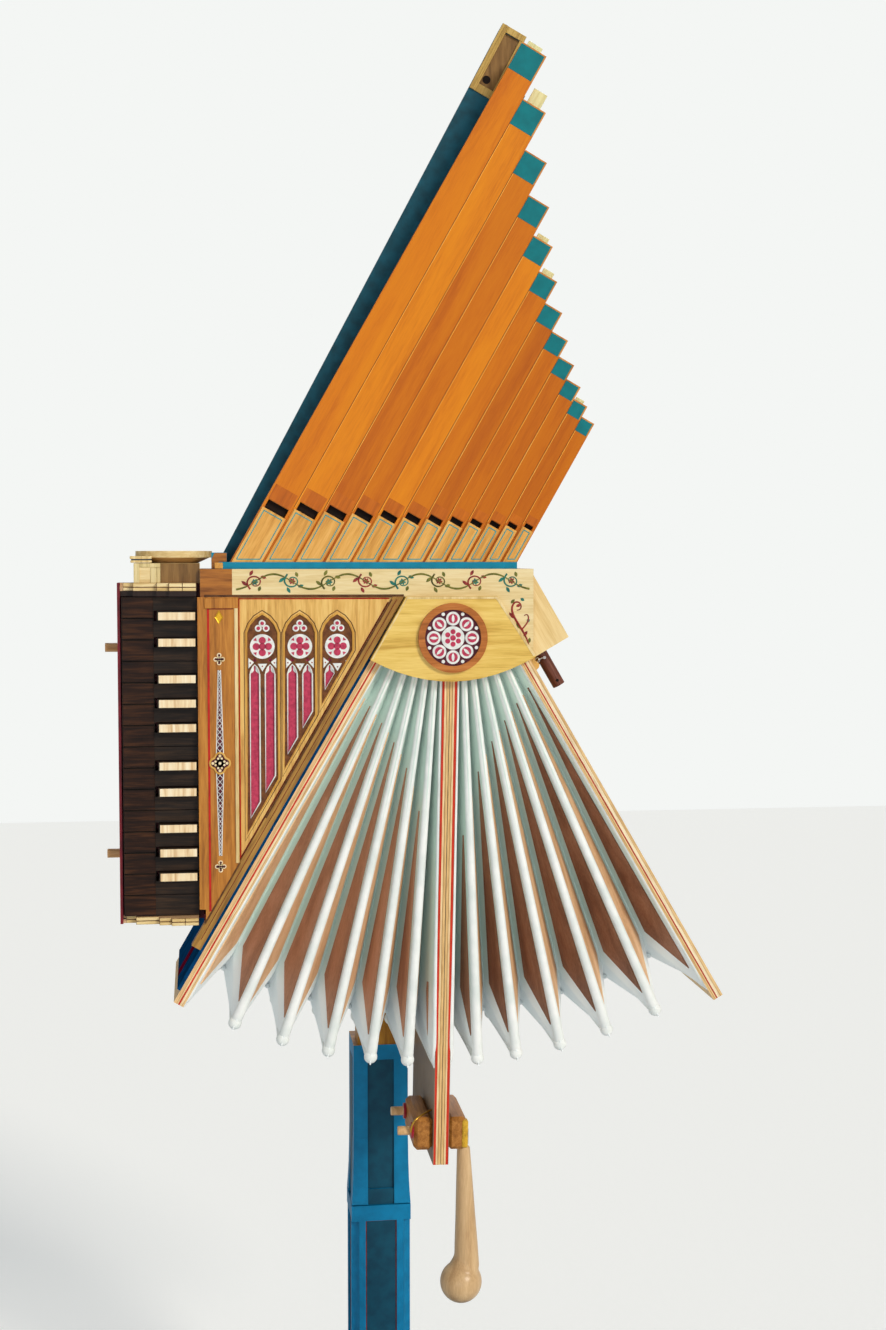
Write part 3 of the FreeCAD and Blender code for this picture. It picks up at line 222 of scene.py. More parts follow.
def leather(name, code, shadow, crease_mm=2.2):
    """Tawed sheepskin: matt, with fine pores and soft creases."""
    material, tree, principled = new_material(name, 0.62, Sheen_Weight=0.15, Sheen_Roughness=0.5)
    vector = local_coordinates(tree)
    cloud = add_node(tree, "TexNoise", {"Vector": vector, "Scale": 40.0, "Detail": 3.0})
    pores = add_node(tree, "TexVoronoi", {"Vector": vector, "Scale": 1000 / crease_mm})
    colour = add_node(tree, "ValToRGB", {"Fac": cloud.outputs["Fac"]}, [(0.3, shadow), (0.6, code)])
    finish_surface(tree, principled, colour.outputs["Color"], pores.outputs["Distance"], 0.25, 0.12)
    return material


def fold_leather(name):
    """The bellows' skin: greenish nearer the apex and whiter further out, towards the gussets at its open end.
    """
    material, tree, principled = new_material(name, 0.62, Sheen_Weight=0.15, Sheen_Roughness=0.5)
    vector = local_coordinates(tree)
    level = add_node(tree, "VectorMath", {
        0: local_coordinates(tree, centre=tuple(APEX)), 1: (1, 0, 1)}, operation="MULTIPLY")
    reach = add_node(tree, "VectorMath", {0: level.outputs[0]}, operation="LENGTH")
    cloud = add_node(tree, "TexNoise", {"Vector": vector, "Scale": 40.0, "Detail": 3.0})
    blotched = add_node(tree, "Math", {
        0: cloud.outputs["Fac"], 1: 0.02, 2: reach.outputs["Value"]}, operation="MULTIPLY_ADD")
    shares = add_node(tree, "MapRange", {"Value": blotched.outputs[0], "From Min": 0.46, "From Max": 0.56})
    colour = add_node(tree, "ValToRGB", {"Fac": shares.outputs["Result"]},
                      [(0.0, "#DCEDE4"), (0.35, "#E0EFE8"), (0.75, "#F4FAFA")])
    pores = add_node(tree, "TexVoronoi", {"Vector": vector, "Scale": 450.0})
    finish_surface(tree, principled, colour.outputs["Color"], pores.outputs["Distance"], 0.25, 0.12)
    return material


def metal(name, code, bright="#FFFFFF", rough=0.28, scratch_mm=0.6):
    """Bright drawn or turned metal with fine draw lines."""
    material, tree, principled = new_material(name, rough, Metallic=1.0)
    vector = local_coordinates(tree, stretch=(1, 8, 1))
    scratch = add_node(tree, "TexNoise", {"Vector": vector, "Scale": 1000 / scratch_mm, "Detail": 2.0})
    colour = add_node(tree, "ValToRGB", {"Fac": scratch.outputs["Fac"]}, [(0.2, code), (0.9, bright)])
    finish_surface(tree, principled, colour.outputs["Color"], scratch.outputs["Fac"], 0.15, 0.03)
    return material


def felt(name, code, shadow):
    """Woven red felt: fibres standing up from a dense mat."""
    material, tree, principled = new_material(name, 0.95, Sheen_Weight=0.5, Sheen_Roughness=0.4)
    fibre = add_node(tree, "TexNoise", {"Vector": local_coordinates(tree), "Scale": 1400.0, "Detail": 4.0})
    colour = add_node(tree, "ValToRGB", {"Fac": fibre.outputs["Fac"]}, [(0.35, shadow), (0.65, code)])
    finish_surface(tree, principled, colour.outputs["Color"], fibre.outputs["Fac"], 0.8, 0.4)
    return material


def pipe_timber(name, lean, first_wide, left, shades):
    """Stained pear wood for a row of pipes: the grain runs up them and each board has its own shade."""
    material, tree, principled = new_material(
        name, 0.4, Specular_IOR_Level=0.2, Coat_Weight=0.08, Coat_Roughness=0.25)
    centre = (left, 0, TOE_TOP)
    across = add_node(tree, "SeparateXYZ", {"Vector": local_coordinates(tree, lean, centre)})
    # Widths shrink by a fixed part, so a board's number is a logarithm of how far across it is.
    share = add_node(tree, "Math", {
        0: across.outputs["X"], 1: -(1 - PIPE_TAPER) / (first_wide * MM), 2: 1.0}, operation="MULTIPLY_ADD")
    safe = add_node(tree, "Math", {0: share.outputs[0], 1: 0.01}, operation="MAXIMUM")
    count = add_node(tree, "Math", {0: safe.outputs[0], 1: PIPE_TAPER}, operation="LOGARITHM")
    number = add_node(tree, "Math", {0: count.outputs[0]}, operation="FLOOR")
    own = add_node(tree, "TexWhiteNoise", {"W": number.outputs[0]}, noise_dimensions="1D")
    drift = add_node(tree, "Math", {0: number.outputs[0], 1: 0.045, 2: 0.12}, operation="MULTIPLY_ADD")
    spread = add_node(tree, "Math", {
        0: own.outputs["Value"], 1: 0.55, 2: drift.outputs[0]}, operation="MULTIPLY_ADD")
    base = add_node(tree, "ValToRGB", {"Fac": spread.outputs[0]}, shades)
    grain_at = local_coordinates(tree, lean, centre, along("Z"))
    shifted = add_node(tree, "VectorMath", {0: grain_at, 1: own.outputs["Color"]})
    factor, fine = grain_factor(tree, shifted.outputs[0], 16, 1.3)
    shade = add_node(tree, "ValToRGB", {"Fac": factor}, [(0.3, "#D6B088"), (0.5, "#F4E6D2"), (0.68, "#FFFFFF")])
    shaded = add_node(tree, "Mix", {0: 0.8, 6: base.outputs["Color"], 7: shade.outputs["Color"]},
                      data_type="RGBA", blend_type="MULTIPLY")
    finish_surface(tree, principled, shaded.outputs[2], fine, 0.3, 0.12)
    return material


# Front plates of the case: clear pale maple, quarter sawn, so the grain is straight and fine.
MAPLE = timber("quartered_maple", "#EEC97A", "#DFB160", "#C08E44", ring_mm=7, coat=0.08)
MAPLE_LEVEL = timber("flat_sawn_maple", "#EFCF76", "#E2BD5E", "#C49A40", axis="X", ring_mm=11, streak_mm=1.6)
MAPLE_DEEP = timber("maple_end_panel", "#F3DCA6", "#ECD094", "#DDBC7C", -SPREAD, ring_mm=10)
# Oiled walnut: brown with dark pores, on the chest's end, the stile and the rail.
WALNUT = timber("oiled_walnut", "#B9762C", "#A36424", "#784414", axis="X", ring_mm=6)
WALNUT_UPRIGHT = timber("walnut_stile", "#C68636", "#B27228", "#8E561A", ring_mm=6)
WALNUT_SLANT = timber("walnut_rail", "#BC8E44", "#A67A36", "#845C24", SPREAD, ring_mm=6)
# Rosewood keys: nearly black with a brown figure, waxed on their heads and dull on their tails.
DARK_GRAIN = {"axis": "X", "ring_mm": 5, "streak_mm": 1.6, "coat": 0.0}
ROSEWOOD = timber("waxed_rosewood", "#4A2C18", "#2C190F", "#180E0A", rough=0.4, shine=0.12, **DARK_GRAIN)
ROSEWOOD_TAIL = timber("dull_rosewood", "#3A2818", "#241910", "#120C08", rough=0.5, **DARK_GRAIN)
# Curly maple on the raised keys: bands of light lie across the grain.
CURLY = timber("curly_maple", "#F8EACB", "#F0D9AE", "#D3AA76", ring_mm=5, streak_mm=3.0)
RIB_GRAIN = {"ring_mm": 22, "streak_mm": 1.8, "rough": 0.55, "coat": 0.0}
# Cherry ribs in three tones of one wood. The pale one is painted light for ribs facing the key light. The
# middle one is painted shade for ribs facing away. The darkest is deeper painted shade on the right bellows.
CHERRY_RIB_PAINTED_LIGHT = timber("cherry_rib_painted_light", "#F3CDA2", "#E8BC8E", "#D0A274", **RIB_GRAIN)
CHERRY_RIB = timber("cherry_rib", "#C8967A", "#B78668", "#A07058", **RIB_GRAIN)
CHERRY_RIB_PAINTED_SHADE = timber("cherry_rib_painted_shade", "#A2745A", "#8E624A", "#78503C", **RIB_GRAIN)
BEECH = timber("turned_beech", "#EAC79A", "#DDB583", "#C49663", ring_mm=13, streak_mm=1.2, rough=0.4)
BEECH_PEG = timber("peg_beech", "#D9AE7A", "#C99A66", "#AE7F4D", axis="X", ring_mm=5)
OAK = timber("oak_block", "#BE823E", "#A46A2C", "#7E4C1C", axis="Y", ring_mm=5)
CAP_WOOD = timber("honey_maple_cap", "#EBB664", "#DDA24C", "#C48638", PIPE_LEAN, ring_mm=9, coat=0.12)
LIGHT_MAPLE = timber("light_maple", "#F0DCA8", "#E2C88C", "#C8A868", ring_mm=6)
TOGGLE_WOOD = timber("toggle_rosewood", "#7E4C3C", "#5E3428", "#361C16", -SPREAD, ring_mm=4)
TAN_MAPLE = timber("tan_maple", "#E6BA6A", "#D9A850", "#BC8A38", -SPREAD, ring_mm=8)
ROSETTE_WOOD = timber("turned_cherry", "#C87F3E", "#B2682C", "#90501E", axis="X", ring_mm=8)
HONEY_STRIP = timber("honey_edge_strip", "#D99648", "#C88034", "#A8641E", PIPE_LEAN, ring_mm=8)
# A pale pear tone used as painted highlight beside the pipes' joints.
JOINT_PAINTED_HIGHLIGHT = timber("pear_painted_highlight", "#FFC258", "#F8AE3C", "#E8962A", PIPE_LEAN, ring_mm=8)
# A darker pear tone used as painted shade over the pipes' mouths, where the upper lip is bevelled.
LIP_PAINTED_SHADE = timber("pear_lip_painted_shade", "#CC6E08", "#BC6006", "#A85204", PIPE_LEAN, ring_mm=6)
TAB_WOOD = timber("tuning_tab_lime", "#EDEBB4", "#E4E0A4", "#D6CC8C", PIPE_LEAN, ring_mm=7)
CLUB_WOOD = timber("turned_maple_club", "#DDBD90", "#CDAA7C", "#B89266", ring_mm=12, rough=0.32, coat=0.3)
GOLD_MAPLE = timber("golden_maple_bead", "#E5B45C", "#D39C44", "#B07C30", ring_mm=6)
OLIVE_MAPLE = timber("aged_maple_head", "#D2B468", "#BC9A50", "#94743A", REAR_LEAN, ring_mm=7)
REST_MAPLE = timber("rest_maple", "#F0DCA8", "#E0C488", "#C4A262", axis="X", ring_mm=6)
TAN_REST = timber("turned_tan_maple", "#DDBB84", "#CBA56C", "#AE8850", axis="X", ring_mm=6)
PALE_FRAME = timber("pale_maple_frame", "#E8D6A4", "#D8C48A", "#B8A068", ring_mm=6)
REST_BROWN = timber("cherry_box_side", "#94703C", "#7C5A2C", "#5C401C", ring_mm=8)
YELLOW_WAX = timber("yellow_waxed_oak", "#E8BE3C", "#D2A42E", "#AE8424", axis="Y", ring_mm=7)
IVORY = timber("ivory_waxed_maple", "#EEDCAC", "#E6D09A", "#D8BE84", axis="X", ring_mm=8, coat=0.05)

LEFT_BOARD = laminated("left_board_veneers", BOARD_THICK, [
    (0.8, "#F0CE98"), (3.2, "#E9C08A"), (3.7, "#C79A62"), (5.0, "#F3D5A2"), (6.8, "#D0301E"),
    (9.4, "#F4DCB0"), (9.9, "#C79A62"), (11.5, "#F0CE98")], SPREAD, tuple(APEX))
RIGHT_BOARD = laminated("right_board_veneers", BOARD_THICK, [
    (1.6, "#E9C68E"), (2.1, "#B98A50"), (3.6, "#EBCB94"), (5.0, "#B5291C"),
    (8.4, "#F7E6C2"), (8.9, "#C9A064"), (11.5, "#E9C68E")], -SPREAD, tuple(APEX))
# The pump boards' veneer lines. The grey-brown outermost layer on each side colours their broad faces as
# painted shade.
PUMP_BOARD = laminated("pump_board_veneers_and_shade", 17, [
    (0.5, "#94806A"), (2.9, "#D2351F"), (5.0, "#F0D6A4"), (5.8, "#B98A50"), (8.2, "#E6C084"),
    (8.8, "#3A2A1C"), (11.2, "#E6C084"), (12.0, "#B98A50"), (13.8, "#F0D6A4"), (16.5, "#D2351F"),
    (17, "#94806A")],
    PUMP_LEAN, tuple(PIVOT))

# Milk paint in a deep sea blue, brighter on the toe board and the column.
BLUE = paint("sea_blue_paint", "#0585A2", "#037A96", rough=0.45)
BLUE_DEEP = paint("deep_blue_paint", "#0A4A60", "#083F54", rough=0.55)
BLUE_PIPE = paint("pipe_blue_paint", "#0A5466", "#07414F")
BOARD_BLUE = paint("dark_board_blue", "#0A4270", "#083458", rough=0.8, shine=0.0)
NAVY = paint("navy_line", "#16324F", "#0E2338")
STAND_SHADES = ("#007BAA", "#006F9B")
STAND_BLUE = paint("stand_blue_paint", *STAND_SHADES)
TEAL = paint("teal_paint", "#00787E", "#006C72", rough=0.6)
RED_LINE = paint("red_line", "#C8281C", "#A81E16")
WINE = paint("wine_lacquer", "#7A1A26", "#5C121C", rough=0.4)
WINE_EDGE = paint("wine_edge_paint", "#6A0E2A", "#560A20", rough=0.8, shine=0.0)
WINE_LINE = paint("wine_line", "#7C2620", "#5E1A18")
TRACERY = paint("tracery_brown", "#7A4A26", "#58331A", cloud_mm=5)
ROSE_PANE = paint("rose_pane", "#C4405E", "#A8324E", cloud_mm=3, grit_mm=0.8)
WHITE_LINE = paint("white_line", "#EFF1EC", "#D8DCD8", cloud_mm=6)
OLIVE = paint("olive_vine", "#7B7A34", "#565A26", cloud_mm=6)
LEAF = paint("leaf_green", "#2E7F6E", "#1F5F58", cloud_mm=6)
MADDER = paint("madder_red", "#9C3A34", "#74272A", cloud_mm=6)
MOULDING_BROWN = paint("moulding_brown", "#6A4526", "#4E3019", cloud_mm=8)
JEWEL_GROUND = paint("jewel_ivory", "#F3E3BE", "#E2CB9A", cloud_mm=6)
PLUM = paint("plum_ink", "#5A1F2E", "#431622", cloud_mm=6)
VINE_INK = paint("vine_ink", "#6E6A2E", "#4C4A20", cloud_mm=5)
TEAL_LINE = paint("teal_pinstripe", "#10A0A4", "#0C8C92", cloud_mm=6)
JOINT_LINE = paint("glue_joint_line", "#743004", "#5E2602", cloud_mm=6)
PINSTRIPE = paint("oxblood_pinstripe", "#94382A", "#742C22", cloud_mm=6)
# A near-black paint used as painted shade inside mouths, holes and vents.
PAINTED_HOLE_SHADE = paint("painted_recess_shade", "#20140E", "#120B08", rough=0.8)
GILT = metal("gilt_leaf", "#C08A1A", "#E8B840", rough=0.4)
BRASS = metal("polished_brass", "#B8862A", "#E0B458")
STEEL = metal("bright_steel", "#B9BCC0")
WHITE_LEATHER = leather("tawed_white_leather", "#F4F7F4", "#E2EAE6")
FOLD_LEATHER = fold_leather("fold_leather")
RED_FELT = felt("red_felt", "#B01828", "#7C0E1A")

# ---------------------------------------------------------------- making pieces


def draw_out(bm, face, depth):
    """Draws a face out by a vector; its far face is returned."""
    drawn = bmesh.ops.extrude_face_region(bm, geom=[face])
    moved = [item for item in drawn["geom"] if isinstance(item, bmesh.types.BMVert)]
    bmesh.ops.translate(bm, verts=moved, vec=depth)
    return next(item for item in drawn["geom"] if isinstance(item, bmesh.types.BMFace))


def finish_piece(name, bm, material, bevel_mm=0.0, segments=2, smooth=False, slot=None, body="instrument"):
    """Turns a bmesh into a piece that rides on a body; None leaves the riding to the caller."""
    bmesh.ops.recalc_face_normals(bm, faces=bm.faces)
    mesh = bpy.data.meshes.new(name)
    bm.to_mesh(mesh)
    bm.free()
    piece = bpy.data.objects.new(name, mesh)
    bpy.context.scene.collection.objects.link(piece)
    mesh.materials.append(material)
    if smooth:
        smooth_mesh(mesh)
    if bevel_mm:
        edge = piece.modifiers.new("eased_edges", "BEVEL")
        edge.width = bevel_mm * MM
        edge.segments = segments
        edge.limit_method = "ANGLE"
        edge.harden_normals = False
    if body:
        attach(piece, body)
    return piece


def smooth_mesh(mesh):
    mesh.polygons.foreach_set("use_smooth", [True] * len(mesh.polygons))


def as_mesh(piece):
    """A piece's final mesh, with its curve or modifiers worked out."""
    return bpy.data.meshes.new_from_object(piece.evaluated_get(bpy.context.evaluated_depsgraph_get()))


def slab(bm, corners, depth):
    """A plate: a flat outline of points drawn out by a vector."""
    return draw_out(bm, bm.faces.new([bm.verts.new(corner) for corner in corners]), depth)


def front_slab(bm, outline, y, rise):
    """A plate on the painted front: outline is (x, z), y its back, rise how many mm it stands out."""
    return slab(bm, [Vector((x, y, z)) for x, z in outline], Vector((0, -rise * MM, 0)))


def oblong(left, low, right, high):
    """The outline of an upright plate."""
    return [(left, low), (left, high), (right, high), (right, low)]


def beside(place, aside, up):
    """A place (x, z) of the front moved aside and up by millimetres."""
    return place[0] + aside * MM, place[1] + up * MM


def around(place, turn, out, aside=0.0):
    """The (x, z) that is out mm from a centre, turned from upright, and aside of that line."""
    across, up = math.sin(turn), math.cos(turn)
    return beside(place, out * across + aside * up, out * up - aside * across)


def disc(bm, place, y, radius, rise, count=32):
    """A round plate on the painted front; radius and rise are in mm."""
    made = bmesh.ops.create_circle(bm, cap_ends=True, radius=radius * MM, segments=count)
    turned = Matrix.Translation((place[0], y, place[1])) @ FACING @ Matrix.Rotation(QUARTER, 4, "Z")
    bmesh.ops.transform(bm, matrix=turned, verts=made["verts"])
    draw_out(bm, made["verts"][0].link_faces[0], (0, -rise * MM, 0))


def bar(bm, start, end, half, y, rise):
    """A straight thin plate between two (x, z) points of the front; half its width and rise are in mm."""
    line = Vector((end[0] - start[0], end[1] - start[1])).normalized() * half * MM
    front_slab(bm, [(start[0] - line.y, start[1] + line.x), (start[0] + line.y, start[1] - line.x),
                    (end[0] + line.y, end[1] - line.x), (end[0] - line.y, end[1] + line.x)], y, rise)


def level(z, left, right, half):
    """A level bar: its two ends and half its width."""
    return (left, z), (right, z), half


def upright(x, low, high, half):
    """An upright bar: its two ends and half its width."""
    return (x, low), (x, high), half


def bar_piece(name, material, bars, y, rise, **finish):
    """A piece made of bars on the front, each (start, end, half)."""
    bm = bmesh.new()
    for start, end, half in bars:
        bar(bm, start, end, half, y, rise)
    return finish_piece(name, bm, material, **finish)


def turned_pin(bm, middle, axis, low, high, length, segments=28):
    """A short turned pin about an axis, tapering from one radius to the other, all in mm."""
    made = bmesh.ops.create_cone(bm, cap_ends=True, segments=segments, radius1=low * MM, radius2=high * MM,
                                 depth=length * MM)
    turned = axis.to_track_quat("Z", "Y").to_matrix().to_4x4()
    bmesh.ops.transform(bm, matrix=Matrix.Translation(middle) @ turned, verts=made["verts"])


def sphere(bm, middle, radius, around_count, up_count):
    made = bmesh.ops.create_uvsphere(bm, u_segments=around_count, v_segments=up_count, radius=radius * MM)
    bmesh.ops.translate(bm, verts=made["verts"], vec=middle)


def tube(name, lines, radius_mm, material, sides=2, straight=False, closed=False):
    """A round strand through (point, thickness) places, made a mesh; the caller says what it rides on."""
    curve = bpy.data.curves.new(name, "CURVE")
    curve.dimensions = "3D"
    curve.bevel_depth = radius_mm * MM
    curve.bevel_resolution = sides
    curve.resolution_u = 1 if straight else 4
    curve.use_fill_caps = True
    for line in lines:
        spline = curve.splines.new("POLY" if straight else "NURBS")
        spline.points.add(len(line) - 1)
        for point, (place, wide) in zip(spline.points, line):
            point.co = (*place, 1)
            point.radius = wide
        if not straight:
            spline.order_u = min(4, len(line))
            spline.use_endpoint_u = True
        spline.use_cyclic_u = closed
    strand = bpy.data.objects.new(name + "_strand", curve)
    bpy.context.scene.collection.objects.link(strand)
    mesh = as_mesh(strand)
    bpy.data.objects.remove(strand)
    mesh.materials.clear()
    mesh.materials.append(material)
    smooth_mesh(mesh)
    piece = bpy.data.objects.new(name, mesh)
    bpy.context.scene.collection.objects.link(piece)
    return piece


def wire(name, places, radius_mm, material, body, **form):
    """A wire of even thickness through some points."""
    line = [(place, 1.0) for place in places]
    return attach(tube(name, [line], radius_mm, material, sides=3, **form), body)


def drawn_line(name, lines, radius_mm, material, y, straight=True, closed=False):
    """Brush lines on the painted front, through (x, z) or (x, z, thickness) points."""
    lines = [[(Vector((p[0], y, p[1])), p[2] if len(p) > 2 else 1.0) for p in line] for line in lines]
    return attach(tube(name, lines, radius_mm, material, 1, straight, closed), "instrument")


# ---------------------------------------------------------------- the slanting frames


def slant(side, u, v, y=0.0):
    """A point u mm down a fixed board's line from the apex and v outward; side is -1 for the left board."""
    a = math.radians(SPREAD)
    x = side * (math.sin(a) * u + math.cos(a) * v)
    z = -math.cos(a) * u + math.sin(a) * v
    return Vector((APEX.x + x * MM, y, APEX.z + z * MM))


def slant_x(z, v):
    """Where the left slant, v millimetres outward, is at a height."""
    a = math.radians(SPREAD)
    return APEX.x - math.tan(a) * (APEX.z - z) - v * MM / math.cos(a)


def slant_z(x, v):
    """How high the left slant, v millimetres outward, is at an x."""
    a = math.radians(SPREAD)
    return APEX.z - (APEX.x - x - v * MM / math.cos(a)) / math.tan(a)


def at_z(z, v):
    """The (x, z) at a height on the left slant, v millimetres outward."""
    return slant_x(z, v), z


def at_x(x, v):
    """The (x, z) at an x on the left slant, v millimetres outward."""
    return x, slant_z(x, v)


# ---------------------------------------------------------------- the bellows

PUMP_HALF = 0.2 + 8.3 + 0.4     # half the split, a board and the leather's clearance
FOLD_MARGIN = 1.2
VALLEY_REACH = FOLD_REACH - FOLD_SINK
LEATHER_THICK = 1.1
RIDGE_BAND = 4.0                # leather left bare beside a ridge, measured across the front
VALLEY_BAND = 5.4
RIB_RIDGE_END = 552
RIB_VALLEY_END = 503
RIB_MIDDLE = 400
RIB_PROUD = 1.4
RIDGE_BEAD = 5.0
VALLEY_BEAD = 3.0
EDGE_BEAD = 2.6
GUSSET_REACH = 541              # the leather's corners hang lower than the valleys of the ribs
GUSSET_IN = 26
GUSSET_BACK = 62
KNOB_RADIUS = 7.2


def toward(angle, radius, y):
    """A point at an angle from straight down about the apex; to the left is positive."""
    return Vector((APEX.x - radius * MM * math.sin(angle), y, APEX.z - radius * MM * math.cos(angle)))


def pump_side(radius, side):
    """The angle of the swinging boards' face, with its clearance, at a distance from the apex."""
    lean = math.radians(PUMP_LEAN)
    down = radius - APEX_RISE
    x = -side * PUMP_HALF * math.cos(lean) - down * math.sin(lean)
    z = side * PUMP_HALF * math.sin(lean) - down * math.cos(lean) - APEX_RISE
    return math.atan2(-x, -z)


def board_side(radius, side):
    """The angle of the fixed board's inner face at a distance from the apex."""
    return side * (math.radians(SPREAD) - math.asin(BOARD_HALF / radius))


def fold_share(step):
    """How far from the swinging board to the fixed one a fold's line is; the folds crowd at the pump."""
    return (step / (2 * FOLDS)) ** FOLD_CROWDING


def fold_angle(side, share, radius):
    start = pump_side(radius, side)
    return start + (board_side(radius, side) - start) * share


def crease(side, step, radius, back=False, inward=0.0):
    """A point on a fold's line: even lines are ridges and odd ones valleys, which deepen outward."""
    deep = FOLD_SINK * radius / VALLEY_REACH if step % 2 else 0.0
    depth = (FOLD_MARGIN + deep + inward) * MM
    return toward(fold_angle(side, fold_share(step), radius), radius, BACK - depth if back else FRONT + depth)


def round_fold(side, step, stops):
    """A fold's line from its top at the front round its end to the back: stops are (radius, mm inward)."""
    front = [crease(side, step, radius, False, inward) for radius, inward in stops]
    return front + [crease(side, step, radius, True, inward) for radius, inward in reversed(stops)]


def ridge_and_valley(step):
    return (step, step + 1) if step % 2 == 0 else (step + 1, step)


def fold_name(kind, side, step):
    return "fold_%s_%s_%02d" % (kind, "left" if side > 0 else "right", step)


def bend_with_pump(piece, share):
    """Bakes a bellows strip's transform into its mesh; the place between its boards that it works out from
    share is not used.
    """
    wanted = 1 - share
    low, high = 0.0, 1.0
    for _ in range(40):
        place = (low + high) / 2
        low, high = (place, high) if place * place * (3 - 2 * place) < wanted else (low, place)
    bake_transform(piece)


def fold_skin(side, step):
    """The leather of one half fold: front, end and back, from a ridge to a valley."""
    ridge, valley = ridge_and_valley(step)
    bm = bmesh.new()
    outer = round_fold(side, ridge, ((FOLD_START, 0), (FOLD_REACH, 0), (FOLD_REACH, GUSSET_BACK)))
    inner = round_fold(side, valley, ((FOLD_START, 0), (VALLEY_REACH, 0), (GUSSET_REACH, GUSSET_IN)))
    verts = [bm.verts.new(place) for place in outer]
    drawn = bmesh.ops.extrude_edge_only(bm, edges=[bm.edges.new(pair) for pair in zip(verts, verts[1:])])
    for vert in (item for item in drawn["geom"] if isinstance(item, bmesh.types.BMVert)):
        nearest = min(range(len(outer)), key=lambda number: (outer[number] - vert.co).length)
        vert.co = inner[nearest]
    bmesh.ops.subdivide_edges(bm, edges=bm.edges, cuts=3, use_grid_fill=True)
    piece = finish_piece(fold_name("leather", side, step), bm, FOLD_LEATHER, body=None)
    wall = piece.modifiers.new("leather_thickness", "SOLIDIFY")
    wall.thickness = LEATHER_THICK * MM
    wall.offset = 0.0
    return piece


def on_fold(side, line, other, radius, aside, back):
    """A point on a half fold's face, aside millimetres from one of its lines towards the other."""
    angles = [fold_angle(side, fold_share(step), radius) for step in (line, other)]
    share = aside / (abs(angles[1] - angles[0]) * radius)
    return crease(side, line, radius, back).lerp(crease(side, other, radius, back), share)


def rib_boards(side, step):
    """The two long cherry ribs glued on one half fold, at the front and at the back."""
    ridge, valley = ridge_and_valley(step)
    angles = [fold_angle(side, fold_share(line), RIB_MIDDLE) for line in (ridge, valley)]
    half_angle = abs(angles[0] - angles[1])
    top = max(FOLD_START + 14, (RIDGE_BAND + VALLEY_BAND + 0.6) / half_angle)
    bm = bmesh.new()
    for back in (False, True):
        corners = [on_fold(side, ridge, valley, top, RIDGE_BAND, back),
                   on_fold(side, ridge, valley, RIB_RIDGE_END, RIDGE_BAND, back),
                   on_fold(side, valley, ridge, RIB_VALLEY_END, VALLEY_BAND, back),
                   on_fold(side, valley, ridge, top, VALLEY_BAND, back)]
        lift = (corners[1] - corners[0]).cross(corners[2] - corners[0]).normalized() * RIB_PROUD * MM
        if (lift.y > 0) != back:
            lift = -lift
        slab(bm, [corner + lift * 0.3 for corner in corners], lift)
    # A rib's tone is painted light or shade by the way it faces: pale towards the key light, darker away from
    # it.
    shaded = CHERRY_RIB if side > 0 else CHERRY_RIB_PAINTED_SHADE
    facing = shaded if (step % 2 == 0) == (side > 0) else CHERRY_RIB_PAINTED_LIGHT
    return finish_piece(fold_name("ribs", side, step), bm, facing, bevel_mm=0.5, segments=1, body=None)


def crease_bead(side, step):
    """The rolled leather over a ridge or down a valley, round its U from front to back."""
    ridge = step % 2 == 0
    thick = EDGE_BEAD if step in (0, 2 * FOLDS) else RIDGE_BEAD if ridge else VALLEY_BEAD
    inset = thick - 1.0 if ridge else 0.0
    stops = [(FOLD_START + 4, 0, 0.62), (260, 0, 0.8), (430, 0, 0.96)]
    if ridge:
        end = FOLD_REACH - inset
        stops += [(end - 42, 0, 1.04), (end - 18, 0, 1.16), (end - 5, 2, 1.22), (end - 3, 12, 1.15),
                  (end - 2, 30, 1.0), (end - 2, 60, 0.9)]
    else:
        stops += [(VALLEY_REACH - 30, 0, 1.0), (VALLEY_REACH, 0, 1.0),
                  (GUSSET_REACH - 8, GUSSET_IN * 0.7, 1.0), (GUSSET_REACH, GUSSET_IN, 0.9),
                  (GUSSET_REACH, GUSSET_IN + 20, 0.9)]
    places = round_fold(side, step, [(radius, inset + inward) for radius, inward, wide in stops])
    widths = [wide for radius, inward, wide in stops]
    kind, skin = ("ridge", WHITE_LEATHER) if ridge else ("valley", FOLD_LEATHER)
    return tube(fold_name(kind, side, step), [list(zip(places, widths + widths[::-1]))], thick, skin, sides=3)


def ridge_knob(side, step):
    """The gathered end of a ridge's leather: a soft round knob at the front and at the back."""
    bm = bmesh.new()
    for back in (False, True):
        sphere(bm, crease(side, step, FOLD_REACH - KNOB_RADIUS, back, KNOB_RADIUS - 0.6), KNOB_RADIUS, 24, 16)
    return finish_piece(fold_name("knobs", side, step), bm, WHITE_LEATHER, smooth=True, body=None)


for side, node in ((1, "left_bellows"), (-1, "right_bellows")):
    for step in range(2, 2 * FOLDS, 2):
        knob = ridge_knob(side, step)
        bend_with_pump(knob, fold_share(step))
    for step in range(2 * FOLDS):
        share = (fold_share(step) + fold_share(step + 1)) / 2
        skin = fold_skin(side, step)
        bend_with_pump(skin, share)
        if step == 0:
            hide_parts(node)
        bend_with_pump(rib_boards(side, step), share)
    for step in range(2 * FOLDS + 1):
        bead = crease_bead(side, step)
        if step == 0:
            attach(bead, "pump")
        elif step == 2 * FOLDS:
            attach(bead, "instrument")
        else:
            bend_with_pump(bead, fold_share(step))

# ---------------------------------------------------------------- the painted front

